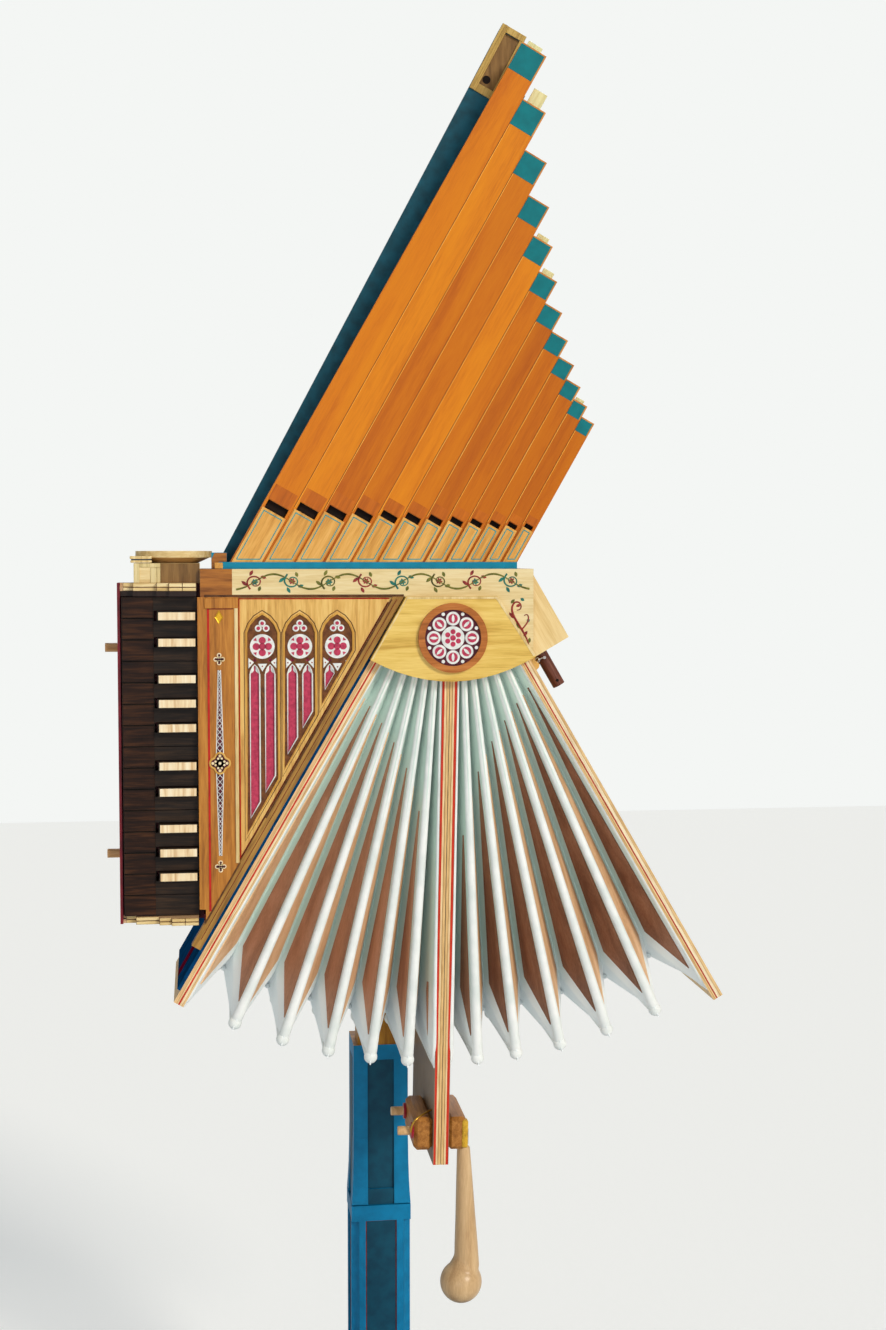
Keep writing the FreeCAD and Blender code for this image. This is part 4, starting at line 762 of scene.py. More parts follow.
PANEL_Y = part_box("window_panel")[0].y
STILE_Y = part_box("pilaster")[0].y
FRIEZE_Y = CHEST_LOW.y
COVER_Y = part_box("hinge_cover")[0].y
RAIL_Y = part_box("diagonal_rail")[0].y
TRACERY_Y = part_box("window_tracery")[0].y
CASE_LEFT = -0.209
STILE_RIGHT = -0.173
BACKING_OUT = BOARD_HALF + BACKING_THICK    # outer faces, measured out from the bellows board's middle
RAIL_OUT = BACKING_OUT + 10.5
WINDOW_FOOT = 7.5
WINDOWS = (-0.148, -0.1085, -0.069)
WINDOW_HALF = 16.8 * MM
WINDOW_SPRING = 1.116
WINDOW_TOP = 1.136
ROSE_HIGH = 1.1013
LIGHT_HALF = 5.2 * MM
LIGHT_ASIDE = 8.0 * MM
LIGHT_SPRING = 1.0722
LIGHT_TOP = 1.0822
LIGHTS = ((0, -1), (0, 1), (1, -1), (1, 1), (2, -1))        # each light's window and side
SHOULDER = ((0.9, 8), (0.9, 3.8), (1.6, 2.4), (3.6, 0.8), (4.6, 0), (3.4, 5.0))
ARCH = ((-1, 0), (-0.8, 0.42), (-0.46, 0.76), (0, 1), (0.46, 0.76), (0.8, 0.42), (1, 0))


def pointed(x, half, spring, top):
    """A pointed arch from its left springing to its right one."""
    return [(x + across * half, spring + up * (top - spring)) for across, up in ARCH]


def opening(x, half, spring, top, foot):
    """A pointed opening whose foot slants with the rail, foot mm out from the rail's edge."""
    left, right = [at_x(x + side, RAIL_OUT + foot) for side in (-half, half)]
    return [left] + pointed(x, half, spring, top) + [right]


# Golden mouldings round the three windows: a cove with an outer bead.
rims = [opening(x, WINDOW_HALF, WINDOW_SPRING, WINDOW_TOP, WINDOW_FOOT) for x in WINDOWS]
drawn_line("window_mouldings", rims, 1.3, GOLD_MAPLE, PANEL_Y + 0.6 * MM, closed=True)
rims = [opening(x, WINDOW_HALF + 2.2 * MM, WINDOW_SPRING, WINDOW_TOP + 3.4 * MM, WINDOW_FOOT - 2)
        for x in WINDOWS]
drawn_line("window_beads", rims, 0.55, MOULDING_BROWN, PANEL_Y, closed=True)

# Rose silk behind the tracery.
bm = bmesh.new()
PANE_Y = TRACERY_Y + 2.4 * MM
for x in WINDOWS:
    front_slab(bm, opening(x, WINDOW_HALF - 1.5 * MM, WINDOW_SPRING, WINDOW_TOP - 3 * MM, WINDOW_FOOT + 2),
               PANE_Y + 0.6 * MM, 0.6)
finish_piece("rose_silk", bm, ROSE_PANE)

# Each light has a white border, and a brown arch that closes the tracery over it.
white = bmesh.new()
arches = bmesh.new()
borders = []
for window, hand in LIGHTS:
    x = WINDOWS[window] + hand * LIGHT_ASIDE
    borders.append(opening(x, LIGHT_HALF - 0.1 * MM, LIGHT_SPRING, LIGHT_TOP, WINDOW_FOOT + 5))
    # The silk narrows to a small finial under the arch: white shoulders stand on either side of it.
    for sign in (-1, 1):
        shoulder = [beside((x, LIGHT_SPRING), sign * aside, up) for aside, up in SHOULDER]
        front_slab(white, shoulder, PANE_Y, 0.9)
    arch = pointed(x, LIGHT_HALF + 0.5 * MM, LIGHT_SPRING, LIGHT_TOP + 0.4 * MM)
    cover = oblong(x - 6.6 * MM, LIGHT_SPRING, x + 6.6 * MM, LIGHT_TOP + 3.4 * MM)
    front_slab(arches, arch + cover[::-1], TRACERY_Y, 0.3)
finish_piece("light_arches", arches, TRACERY)
drawn_line("light_borders", borders, 0.9, WHITE_LINE, TRACERY_Y + 0.5 * MM, closed=True)

FACE = 0.5
LOBE_Y = TRACERY_Y - FACE * MM
pink = bmesh.new()
brown = bmesh.new()
for x in WINDOWS:
    # The rose: a white disc with four lobes, a heart and a small dart between each two lobes.
    rose = (x, ROSE_HIGH)
    disc(white, rose, TRACERY_Y, 13.0, FACE)
    disc(pink, rose, LOBE_Y, 3.6, 0.4)
    for turn in QUARTERS:
        disc(pink, around(rose, turn, 6.4), LOBE_Y, 3.75, 0.4, count=24)
        front_slab(pink, [around(rose, turn + QUARTER / 2, out, aside)
                          for out, aside in ((11.3, 2.1), (8.2, 0.0), (11.3, -2.1))], LOBE_Y, 0.4)
    # A trefoil of three ringed eyes over the rose.
    for aside, up in ((0, 24.4), (-4.1, 19.2), (4.1, 19.2)):
        disc(white, beside(rose, aside, up), TRACERY_Y, 3.6, FACE, count=24)
        disc(pink, beside(rose, aside, up), LOBE_Y, 1.95, 0.4, count=20)
    # Spandrels between the lights, each with a seed; the rail cuts off the last window's.
    spandrels = [[(-14.6, -12.0), (-8.8, -16.6), (-14.6, -23.2)], [(-4.9, -18.2), (4.9, -18.2), (0, -26.4)]]
    if slant_z(x + 13.3 * MM, RAIL_OUT + WINDOW_FOOT + 4) < ROSE_HIGH - 22 * MM:
        spandrels.append([(14.6, -12.0), (8.8, -16.6), (14.6, -23.2)])
    else:
        spandrels[1] = [(-4.9, -18.2), (4.9, -18.2), (0.9, -25.6), (0, -26.4)]
        spandrels.append([(13.0, -13.0), (8.6, -15.6), (9.4, -18.0)])
    for corners in spandrels:
        front_slab(white, [beside(rose, *corner) for corner in corners], TRACERY_Y, FACE)
        middle = [sum(places) / len(corners) for places in zip(*corners)]
        disc(brown, beside(rose, *middle), LOBE_Y, 0.75, 0.3, count=12)
finish_piece("white_fretwork", white, WHITE_LINE)
finish_piece("rose_silk_lobes", pink, ROSE_PANE)
finish_piece("fretwork_seeds", brown, MADDER)

# Thin lines of red and wine paint round the panel and along the rail.
RAIL_LINE = RAIL_OUT + 0.9
RAIL_MIDDLE = RAIL_OUT - 5.4
LINE_TOP = SILL - 1.9 * MM
RAIL_LINE_FOOT = 0.792
ARRIS_FOOT = 0.92
left, right = STILE_RIGHT + 0.8 * MM, slant_x(LINE_TOP, RAIL_LINE) - 1 * MM
drawn_line("panel_red_line", [[at_x(left, RAIL_LINE), (left, LINE_TOP), (right, LINE_TOP)]],
           0.75, RED_LINE, PANEL_Y - 0.1 * MM)
drawn_line("rail_wine_line", [[at_x(STILE_RIGHT, RAIL_LINE), at_z(SILL - 6 * MM, RAIL_LINE)]],
           0.7, WINE_LINE, PANEL_Y - 0.2 * MM)
drawn_line("rail_middle_line", [[at_z(RAIL_LINE_FOOT, RAIL_MIDDLE), at_z(SILL - 3 * MM, RAIL_MIDDLE)]],
           0.4, WINE_LINE, RAIL_Y + 0.1 * MM)

# Slips, beads and mouldings of the stile, the frieze and the rail.
STILE_HEAD = SILL - 12.8 * MM
slip = CASE_LEFT + 4.6 * MM
bead = STILE_RIGHT - 2.4 * MM
bar_piece("stile_red_slip", RED_LINE, [upright(slip, slant_z(slip, RAIL_OUT) + 2 * MM, STILE_HEAD, 1.15)],
          STILE_Y, 0.5, bevel_mm=0.15)
bar_piece("stile_head_line", WINE_LINE,
          [level(STILE_HEAD + 0.5 * MM, CASE_LEFT + 3.4 * MM, STILE_RIGHT - 5.6 * MM, 0.5)], STILE_Y, 0.5)
bar_piece("stile_pale_bead", LIGHT_MAPLE,
          [upright(bead, slant_z(bead, RAIL_OUT) + 3 * MM, STILE_HEAD + 3 * MM, 1.8)],
          STILE_Y, 1.2, bevel_mm=0.8, segments=3)
bar_piece("stile_capital", WALNUT_UPRIGHT,
          [level(SILL - 6.4 * MM, CASE_LEFT + 0.6 * MM, STILE_RIGHT - 0.4 * MM, 5.4)],
          STILE_Y, 1.6, bevel_mm=0.7)
# The dark brown bar under the frieze is partly the moulding and partly painted shade of the groove there.
bar_piece("frieze_moulding", MOULDING_BROWN,
          [level(SILL + 0.9 * MM, CASE_LEFT + 0.6 * MM, slant_x(SILL, BACKING_OUT), 1.5)],
          FRIEZE_Y + 0.2 * MM, 0.7, bevel_mm=0.6)
# The rail's foot is mitred off behind the stile with a raised lip along its upper edge.
bar_piece("rail_foot_lip", MOULDING_BROWN,
          [(at_x(CASE_LEFT - 1 * MM, RAIL_OUT - 0.6), at_x(STILE_RIGHT, RAIL_OUT - 0.6), 0.9)],
          STILE_Y + 0.8 * MM, 1.4, bevel_mm=0.4)
bar_piece("rail_arris", MOULDING_BROWN,
          [(at_z(ARRIS_FOOT, RAIL_OUT - 0.8), at_z(SILL - 3 * MM, RAIL_OUT - 0.8), 0.8)],
          RAIL_Y, 0.8, bevel_mm=0.3)

# The backing board's wine edge, a strip on its outer side.
EDGE_OUT = BACKING_OUT + 0.7
EDGE_FRONT, EDGE_BACK = -0.210, -0.186
bm = bmesh.new()
slab(bm, [slant(-1, u, EDGE_OUT, y) for u, y in ((420, EDGE_FRONT), (565, EDGE_FRONT), (565, EDGE_BACK),
                                                 (420, EDGE_BACK))], slant(-1, 0, 0) - slant(-1, 0, 1.6))
finish_piece("backing_edge_strip", bm, WINE_EDGE, bevel_mm=0.4)

# The stile's painted jewel: two lattice spindles that meet at a quatrefoil, with a finial at each end.
JEWEL = (-0.1932, 0.979)
JEWEL_NEAR, JEWEL_FAR = 9, 98
FINIALS = (1.0885, 0.8695)
LOZENGE = (JEWEL[0], 1.1325)
ground = bmesh.new()
white = bmesh.new()
edges = []
zigzag = []
ring = []
for way in (1, -1):
    front_slab(ground, [beside(JEWEL, aside, way * up) for aside, up in (
        (-3.5, JEWEL_NEAR), (3.5, JEWEL_NEAR), (1.2, JEWEL_FAR), (-1.2, JEWEL_FAR))], STILE_Y, 0.4)
    for hand in (-1, 1):
        edges.append([(*beside(JEWEL, hand * 3.7, way * JEWEL_NEAR), 1.0),
                      (*beside(JEWEL, hand * 1.3, way * JEWEL_FAR), 0.8)])
        up, turn, line = JEWEL_NEAR, hand, []
        while up < JEWEL_FAR:
            half = 3.3 - 2.2 * (up - JEWEL_NEAR) / (JEWEL_FAR - JEWEL_NEAR)
            line.append((*beside(JEWEL, half * turn, way * up), 0.75))
            up += half * 1.7 + 1.6
            turn = -turn
        zigzag.append(line)
for turn in QUARTERS:
    petal = beside(JEWEL, 5.4 * math.sin(turn), 5.8 * math.cos(turn))
    disc(ground, petal, STILE_Y, 4.5, 0.9, count=24)
    for out, aside, size in ((2.0, 0, 1.5), (-0.8, 1.9, 1.2), (-0.8, -1.9, 1.2)):
        disc(white, around(petal, turn, out, aside), STILE_Y - 0.9 * MM, size, 0.35, count=14)
    ring += [around(petal, turn + part * 0.47, 5.2) for part in range(-3, 4)]
disc(ground, JEWEL, STILE_Y, 5, 0.9, count=24)
disc(white, JEWEL, STILE_Y - 0.9 * MM, 1.5, 0.35, count=16)
for end in FINIALS:
    for aside, up, size in ((-3.6, 0, 2.4), (3.6, 0, 2.4), (0, 4.2, 2.4), (0, -3.8, 2.4), (0, 0, 2.8)):
        petal = beside((JEWEL[0], end), aside, up)
        disc(white, petal, STILE_Y, size, 0.8, count=16)
        disc(ground, petal, STILE_Y - 0.8 * MM, 1.25, 0.3, count=12)
finish_piece("jewel_ground", ground, PLUM)
finish_piece("jewel_petals", white, JEWEL_GROUND)
drawn_line("jewel_lattice", zigzag, 0.55, WHITE_LINE, STILE_Y - 0.4 * MM)
drawn_line("jewel_edges", edges, 0.6, WHITE_LINE, STILE_Y - 0.1 * MM)
drawn_line("jewel_ring", [ring], 1.2, TAN_MAPLE, STILE_Y - 0.3 * MM, closed=True)
# A small gilt lozenge under the stile's head.
bm = bmesh.new()
corners = [beside(LOZENGE, aside, up) for aside, up in ((-4.4, 0), (0, -7.4), (4.4, 0), (0, 7.4))]
top = front_slab(bm, corners, STILE_Y, 0.7)
bmesh.ops.inset_region(bm, faces=[top], thickness=1.1 * MM, depth=-0.4 * MM, use_even_offset=True)
finish_piece("gilt_lozenge", bm, GILT, bevel_mm=0.15)

# ---- a running vine along the frieze, and sprigs in the spandrel ----

FRIEZE_MID = CHEST_HIGH.z - 13.2 * MM
VINE_LEFT = -0.175
VINE_RIGHT = 0.137
SCROLLS = 8
VINE_RISE = 8.2 * MM
LINE_Y = FRIEZE_Y + 0.1 * MM


def leaf(bm, place, length, wide, angle, y=FRIEZE_Y):
    """A pointed leaf: a circle drawn out to a point at both ends, with its length and width in mm."""
    made = bmesh.ops.create_circle(bm, cap_ends=True, radius=0.5, segments=14)
    for vert in made["verts"]:
        reach = vert.co.x
        vert.co = Vector((reach * length, vert.co.y * wide * (1 - abs(2 * reach) ** 3), 0)) * MM
    turned = Matrix.Translation((place[0], y, place[1])) @ Matrix.Rotation(-angle, 4, "Y") @ FACING
    bmesh.ops.transform(bm, matrix=turned, verts=made["verts"])
    draw_out(bm, made["verts"][0].link_faces[0], (0, -0.3 * MM, 0))


pitch = (VINE_RIGHT - VINE_LEFT) / SCROLLS
leaves = {tone: bmesh.new() for tone in ("green", "olive", "red")}
coils = {"olive": [], "plum": [], "teal": []}
stem = [(VINE_LEFT + i / 6 * pitch, FRIEZE_MID - VINE_RISE * math.cos(i / 6 * math.pi),
         1.1 + 0.4 * math.cos(i / 3 * math.pi)) for i in range(SCROLLS * 6 + 1)]
for i in range(SCROLLS):
    # Inside each wave a shoot coils twice as it thins and ends in a flower; leaves spring from its back.
    up = -1 if i % 2 else 1
    middle = (VINE_LEFT + (i + 0.5) * pitch, FRIEZE_MID)
    coil = []
    for part in range(13):
        turn = math.radians(-150 + part * 40)
        radius = 8.4 - part * 0.5
        place = beside(middle, radius * math.sin(turn) * 1.15, up * (radius * math.cos(turn) - 0.6))
        coil.append((*place, 1.5 - part * 0.08))
    coils[("plum", "teal", "olive")[i % 3]].append(coil)
    tone = ("red", "green", "olive")[i % 3]
    for degrees, reach, length in ((-100, 10.0, 8.0), (-20, 9.6, 7.0), (60, 9.4, 6.4), (150, 8.6, 6.0)):
        turn = math.radians(degrees)
        place = beside(middle, reach * math.sin(turn) * 1.12, up * reach * math.cos(turn))
        leaf(leaves[tone if degrees < 100 else "olive"], place, length, 3.4, up * (0.7 - turn))
    for petal in range(6):
        turn = petal * math.pi / 3 + i
        leaf(leaves["red" if i % 2 else "green"],
             beside(middle, 2.0 * math.cos(turn), 2.0 * math.sin(turn) - up * 0.4), 3.6, 1.9, turn)
    disc(leaves["olive"], beside(middle, 0, -up * 0.4), FRIEZE_Y, 1.0, 0.5, count=12)
drawn_line("vine_stem", [stem], 0.8, OLIVE, LINE_Y, straight=False)
for tone, material in (("olive", VINE_INK), ("plum", MADDER), ("teal", LEAF)):
    drawn_line("vine_coils_" + tone, coils[tone], 0.72, material, LINE_Y, straight=False)

# A tall shoot climbs the narrow ground beside the cover.
spray = [[(0.1372, 1.0985, 0.5), (0.1350, 1.1080, 1.1), (0.1290, 1.1180, 1.5), (0.1215, 1.1290, 1.6),
          (0.1165, 1.1405, 1.4), (0.1215, 1.1490, 1.2), (0.1290, 1.1460, 1.0), (0.1285, 1.1385, 0.8),
          (0.1235, 1.1385, 0.6)],
         [(0.1290, 1.1180, 1.1), (0.1345, 1.1235, 1.1), (0.1378, 1.1305, 1.0), (0.1345, 1.1355, 0.8),
          (0.1315, 1.1325, 0.6)]]
for x, z, length, angle, tone in (
        (0.1175, 1.1330, 7.4, 2.2, "red"), (0.1255, 1.1215, 7.0, 2.3, "olive"),
        (0.1330, 1.1135, 6.0, 0.9, "red"), (0.1370, 1.1060, 5.6, 1.3, "olive"),
        (0.1250, 1.1435, 4.6, 0.4, "red"), (0.1190, 1.1480, 5.4, 0.8, "olive"),
        (0.1360, 1.1275, 4.2, 1.4, "green"), (0.1295, 1.1500, 4.4, 2.6, "green")):
    leaf(leaves[tone], (x, z), length * 1.15, 3.4, angle)
drawn_line("spandrel_spray", spray, 0.85, MADDER, LINE_Y, straight=False)
for tone, material in (("green", LEAF), ("olive", OLIVE), ("red", MADDER)):
    finish_piece("vine_leaves_" + tone, leaves[tone], material)

# ---- the cover: pale arrises on its slanting edges and a turned ring with a painted star ----

bm = bmesh.new()
for start, end, half, rise in (((0.0042, SILL - 1.4 * MM), (0.1008, SILL - 1.4 * MM), 1.2, 1.0),
                               ((0.1002, SILL - 1.0 * MM), (0.1414, 1.0899), 1.3, 1.0),
                               ((0.0048, SILL - 1.0 * MM), (-0.0328, 1.0874), 0.8, 0.9)):
    bar(bm, start, end, half, COVER_Y + 0.6 * MM, rise)
finish_piece("cover_arrises", bm, LIGHT_MAPLE, bevel_mm=0.4)

HUB = (PIVOT.x, PIVOT.z)
FRET_Y = COVER_Y - 1.6 * MM
RING_Y = FRET_Y - 0.3 * MM
EYE_Y = FRET_Y - 0.8 * MM
white = bmesh.new()
pink = bmesh.new()
plum = bmesh.new()
disc(plum, HUB, FRET_Y, 29.8, 0.3, count=64)
for number in range(8):
    turn = number * QUARTER / 2
    middle = around(HUB, turn, 20.5)
    disc(white, middle, RING_Y, 7.4, 0.5, count=28)
    disc(pink, middle, EYE_Y, 5.0, 0.4, count=24)
    leaf(white, middle, 9.4, 3.2, QUARTER - turn, FRET_Y - 1.2 * MM)
    disc(white, around(HUB, turn + QUARTER / 4, 27.2), RING_Y, 1.9, 0.5, count=14)
disc(white, HUB, RING_Y, 12.4, 0.5, count=40)
for number in range(6):
    disc(pink, around(HUB, number * math.pi / 3, 6.6), EYE_Y, 2.7, 0.4, count=20)
disc(pink, HUB, EYE_Y, 3.0, 0.4, count=20)
finish_piece("rosette_ground", plum, PLUM)
finish_piece("rosette_fret", white, WHITE_LINE, bevel_mm=0.15, segments=1)
finish_piece("rosette_eyes", pink, ROSE_PANE)

# ---------------------------------------------------------------- the pipes


def pipe_row(first_x, first_wide, lean, count):
    """The middle of each pipe's foot in metres, and its width in millimetres."""
    x = first_x
    row = []
    for number in range(count):
        wide = first_wide * PIPE_TAPER ** number
        across = wide / math.cos(math.radians(lean)) * MM
        row.append((x + across / 2, wide))
        x += across
    return row


def on_pipe(foot_x, lean, length, aside):
    """A place on a pipe's front, (x, z): length runs up the pipe and aside across it, in millimetres."""
    return around((foot_x, TOE_TOP), math.radians(lean), length, aside)


def pipe_plate(bm, foot_x, lean, low, high, left, right, y, rise):
    """A thin plate on a pipe's front between two lengths and two places across."""
    outline = [on_pipe(foot_x, lean, length, aside) for aside, length in oblong(left, low, right, high)]
    front_slab(bm, outline, y, rise)


FRONT_LEFT = -0.1811
REAR_LEFT = -0.1924
FRONT_ROW = pipe_row(FRONT_LEFT, FRONT_WIDE, PIPE_LEAN, FRONT_PIPES)
REAR_ROW = pipe_row(REAR_LEFT, REAR_WIDE, REAR_LEAN, REAR_PIPES)
REAR_Y = FRONT + 55 * MM
PIPE_WALL = 3
TAB_RISE = {0: 16, 1: 26, 4: 11, 5: 11, 10: 6}      # how far a pipe's tuning tab stands up
CAP_INSET = 3.0

squares, strips, joints, frames, tabs, painted_mouth_shades, painted_joint_glints, painted_lip_shades = [bmesh.new() for _ in range(8)]
for i, (x, wide) in enumerate(FRONT_ROW):
    long = SPEAKING * 2 ** (-(2 * i + 1) / 12)
    half = (wide - 0.3) / 2
    mouth = 20 + 1.3 * wide
    crown = long - wide * 1.04
    lip = half - PIPE_WALL
    plates = [(squares, crown, long - 1.6, 0.1 - half, half - 1.7, FRONT, 0.3),
              (strips, crown, long - 0.2, half - 1.6, half - 0.1, FRONT, 0.25),
              (strips, long - 1.5, long - 0.2, 0.2 - half, half - 1.7, FRONT, 0.25),
              (painted_lip_shades, mouth + 0.33 * wide + 0.5, mouth + 0.92 * wide, -1 - lip, lip + 1, FRONT, 0.1),
              (painted_mouth_shades, mouth + 0.4, mouth + 0.33 * wide, 0.6 - lip, lip - 0.6, FRONT + 6 * MM, 0.5)]
    if i:
        plates += [(joints, mouth + 2, long - wide * 0.5, -0.35 - half, 0.3 - half, FRONT, 0.12),
                   (painted_joint_glints, mouth + 2, long - wide * 1.06, 0.35 - half, 0.95 - half, FRONT, 0.14)]
    if i in TAB_RISE:
        tab_half = wide * 0.55 / 2 + 0.25
        plates.append((tabs, long + 0.3, long + TAB_RISE[i] + 0.3, -tab_half, tab_half,
                       FRONT + (wide * 1.3 - PIPE_WALL + 0.25) * MM, 3))
    for bm, *place in plates:
        pipe_plate(bm, x, PIPE_LEAN, *place)
    # A teal line is drawn round each cap, parallel to its edges.
    slope = math.tan(math.radians(PIPE_LEAN))
    foot = CAP_INSET / math.cos(math.radians(PIPE_LEAN))
    right = wide / 2 - 1.4 - CAP_INSET
    corners = [on_pipe(x, PIPE_LEAN, *corner) for corner in (
        (foot - right * slope, -right), (mouth - CAP_INSET, -right), (mouth - CAP_INSET, right),
        (foot + right * slope, right))]
    for start, end in zip(corners, corners[1:] + corners[:1]):
        bar(frames, start, end, 0.5, FRONT - 2.5 * MM, 0.2)
finish_piece("pipe_top_squares", squares, TEAL, bevel_mm=0.1, segments=1, slot="blue_paint")
finish_piece("pipe_edge_strips", strips, HONEY_STRIP, slot="pipe_wood")
finish_piece("pipe_cap_lines", frames, TEAL_LINE)
finish_piece("pipe_joint_lines", joints, JOINT_LINE)
# The pale strips beside the joints are painted highlights.
finish_piece("pipe_joint_painted_highlights", painted_joint_glints, JOINT_PAINTED_HIGHLIGHT, slot="pipe_wood")
# The darker plates over the mouths are painted shade for the sloping upper lips.
finish_piece("pipe_lip_painted_shades", painted_lip_shades, LIP_PAINTED_SHADE, slot="pipe_wood")
finish_piece("tuning_tabs", tabs, TAB_WOOD, bevel_mm=0.4)
# Dark plates set inside the mouths are painted shade.
finish_piece("pipe_mouth_shade", painted_mouth_shades, PAINTED_HOLE_SHADE)

# The lowest rear pipe's head is bare maple: a stepped frame round a sunk field and its round vent. The field's
# brown is partly the wood and partly painted shade inside the head; the vent is a dark disc of painted shade.
frame_wood = bmesh.new()
field = bmesh.new()
vent = bmesh.new()
x, wide = REAR_ROW[0]
head = SPEAKING - 6
half = wide / 2 - 0.3
FRAME_LONG = 79
for low, high, left, right, rise in ((FRAME_LONG, 0.4, -half, 3.2 - half, 1.8),
                                     (FRAME_LONG, 0.4, 3.2 - half, 5.6 - half, 2.6),
                                     (FRAME_LONG, 0.4, 5.6 - half, 7.4 - half, 1.4),
                                     (FRAME_LONG, 70, 7.4 - half, half, 1.6),
                                     (7.6, 0.4, 7.4 - half, half, 1.6),
                                     (70, 7.6, half - 4.7, half, 1.6)):
    pipe_plate(frame_wood, x, REAR_LEAN, head - low, head - high, left, right, REAR_Y, rise)
pipe_plate(field, x, REAR_LEAN, head - 69, head - 7.8, 7.4 - half, half - 4.7, REAR_Y + 2 * MM, 0.6)
disc(vent, on_pipe(x, REAR_LEAN, head - 62, -2.0), REAR_Y + 1.4 * MM, 4.4, 0.3, count=28)
finish_piece("bass_head_frame", frame_wood, OLIVE_MAPLE, bevel_mm=0.35)
finish_piece("bass_head_field", field, REST_BROWN)
finish_piece("bass_head_vent", vent, PAINTED_HOLE_SHADE)

# Under the pipe feet: a fillet along the toe board's lower edge, and the stop at its end.
TOE_FOOT = CHEST_HIGH.z
bar_piece("toe_fillet", BLUE, [level(TOE_FOOT + 0.9 * MM, -0.1918, 0.1236, 0.7)],
          FRONT - 4 * MM, 0.5, bevel_mm=0.3)
bm = bmesh.new()
front_slab(bm, oblong(-0.1972, TOE_FOOT + 0.4 * MM, -0.1886, TOE_TOP - 0.4 * MM), FRONT - 3.6 * MM, 1.6)
finish_piece("end_stop_face", bm, CAP_WOOD, bevel_mm=0.5)
bm = bmesh.new()
front_slab(bm, [(-0.2004, TOE_FOOT + 0.3 * MM), (-0.2004, TOE_TOP + 3 * MM), (-0.1972, TOE_TOP + 9.6 * MM),
                (-0.1846, TOE_TOP + 9.6 * MM), (-0.1846, TOE_TOP + 0.4 * MM), (-0.1932, TOE_TOP + 0.2 * MM),
                (-0.1932, TOE_FOOT + 0.3 * MM)], FRONT + 0.2 * MM, 0.8)
finish_piece("end_stop_curl", bm, WALNUT, bevel_mm=0.3)

# ---------------------------------------------------------------- the keyboard

KEY_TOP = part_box("key_01")[1].z + 0.35 * MM
PITCH = 22.46 * MM
KEY_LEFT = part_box("key_01")[0].x
KEY_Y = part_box("key_01")[0].y
HEAD_RIGHT = KEY_LEFT + 33.3 * MM
SHARP_RIGHT = -0.2178
natural = 0
for number in range(1, 26):
    name = "key_%02d" % number
    low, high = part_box(name)
    bm = bmesh.new()
    if number in SHARP_KEYS:
        front_slab(bm, oblong(low.x + 1.4 * MM, low.z + 0.6 * MM, SHARP_RIGHT, high.z - 0.7 * MM), low.y, 0.7)
        finish_piece("sharp_cap_%02d" % number, bm, CURLY, bevel_mm=0.3, slot="sharp_wood", body=name)
        continue
    top = KEY_TOP - natural * PITCH - 0.9 * MM
    bottom = KEY_TOP - (natural + 1) * PITCH + 0.9 * MM
    front_slab(bm, oblong(KEY_LEFT + 0.8 * MM, bottom, HEAD_RIGHT - 0.6 * MM, top), KEY_Y, 0.6)
    finish_piece("key_head_%02d" % number, bm, ROSEWOOD, bevel_mm=0.45, segments=3, slot="key_wood",
                 body=name)
    natural += 1

# The cheeks over and under the keys show their layers: pale boards parted by a dark line.
pale = bmesh.new()
dark = bmesh.new()
for left, right, y in ((-0.2924, -0.2822, 10), (-0.2818, -0.2578, 0), (-0.2572, -0.2450, -7),
                       (-0.2444, -0.2310, -12), (-0.2304, -0.2168, -12)):
    for bm, low, high, over, rise in (
            (pale, 1.1602, 1.1634, 0, 1.1), (pale, 1.1643, 1.1682, 0, 1.1),
            (pale, 0.8085, 0.8117, 0, 1.1), (pale, 0.8126, 0.8160, 0, 1.1),
            (dark, 1.1598, 1.1684, 0.2, 0.5), (dark, 0.8084, 0.8162, 0.2, 0.5)):
        front_slab(bm, oblong(left - over * MM, low, right + over * MM, high), FRONT + y * MM, rise)
finish_piece("cheek_boards", pale, REST_MAPLE, bevel_mm=0.7, segments=3)
finish_piece("cheek_shadow_line", dark, MOULDING_BROWN)

# The hand rest: a framed box end, a two-layer cap over it and a shallow bowl for the palm.
BOX_LEFT, _, BOX_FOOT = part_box("hand_rest")[0]
BOX_TOP = 1.189
BOX_SPLIT = -0.2535
BOX_RIGHT = -0.2128
BOWL_X = -0.240
BOX_Y = FRONT + 2 * MM
bar_piece("rest_box_frame", PALE_FRAME,
          [upright(BOX_LEFT + 3.1 * MM, BOX_FOOT, BOX_TOP, 3.0),
           level(BOX_TOP - 2.2 * MM, BOX_LEFT + 6.4 * MM, BOX_SPLIT, 2.1),
           upright(BOX_SPLIT - 1.8 * MM, BOX_FOOT, BOX_TOP - 4.6 * MM, 1.7),
           upright(BOX_SPLIT - 7.0 * MM, BOX_FOOT, BOX_TOP - 4.6 * MM, 3.2)], BOX_Y, 1.0, bevel_mm=0.35)
bm = bmesh.new()
front_slab(bm, oblong(BOX_SPLIT + 0.2 * MM, BOX_FOOT + 0.2 * MM, BOX_RIGHT, BOX_TOP - 0.2 * MM), BOX_Y, 0.5)
finish_piece("rest_box_side", bm, REST_BROWN, bevel_mm=0.3)


def rest_layer(bm, low, high, left, right, near, far):
    """A layer of the rest's cap: low and high in mm over the box, near and far in mm behind its face."""
    slab(bm, [Vector((x, BOX_Y + y * MM, BOX_TOP + low * MM)) for x, y in oblong(left, near, right, far)],
         Vector((0, 0, (high - low) * MM)))


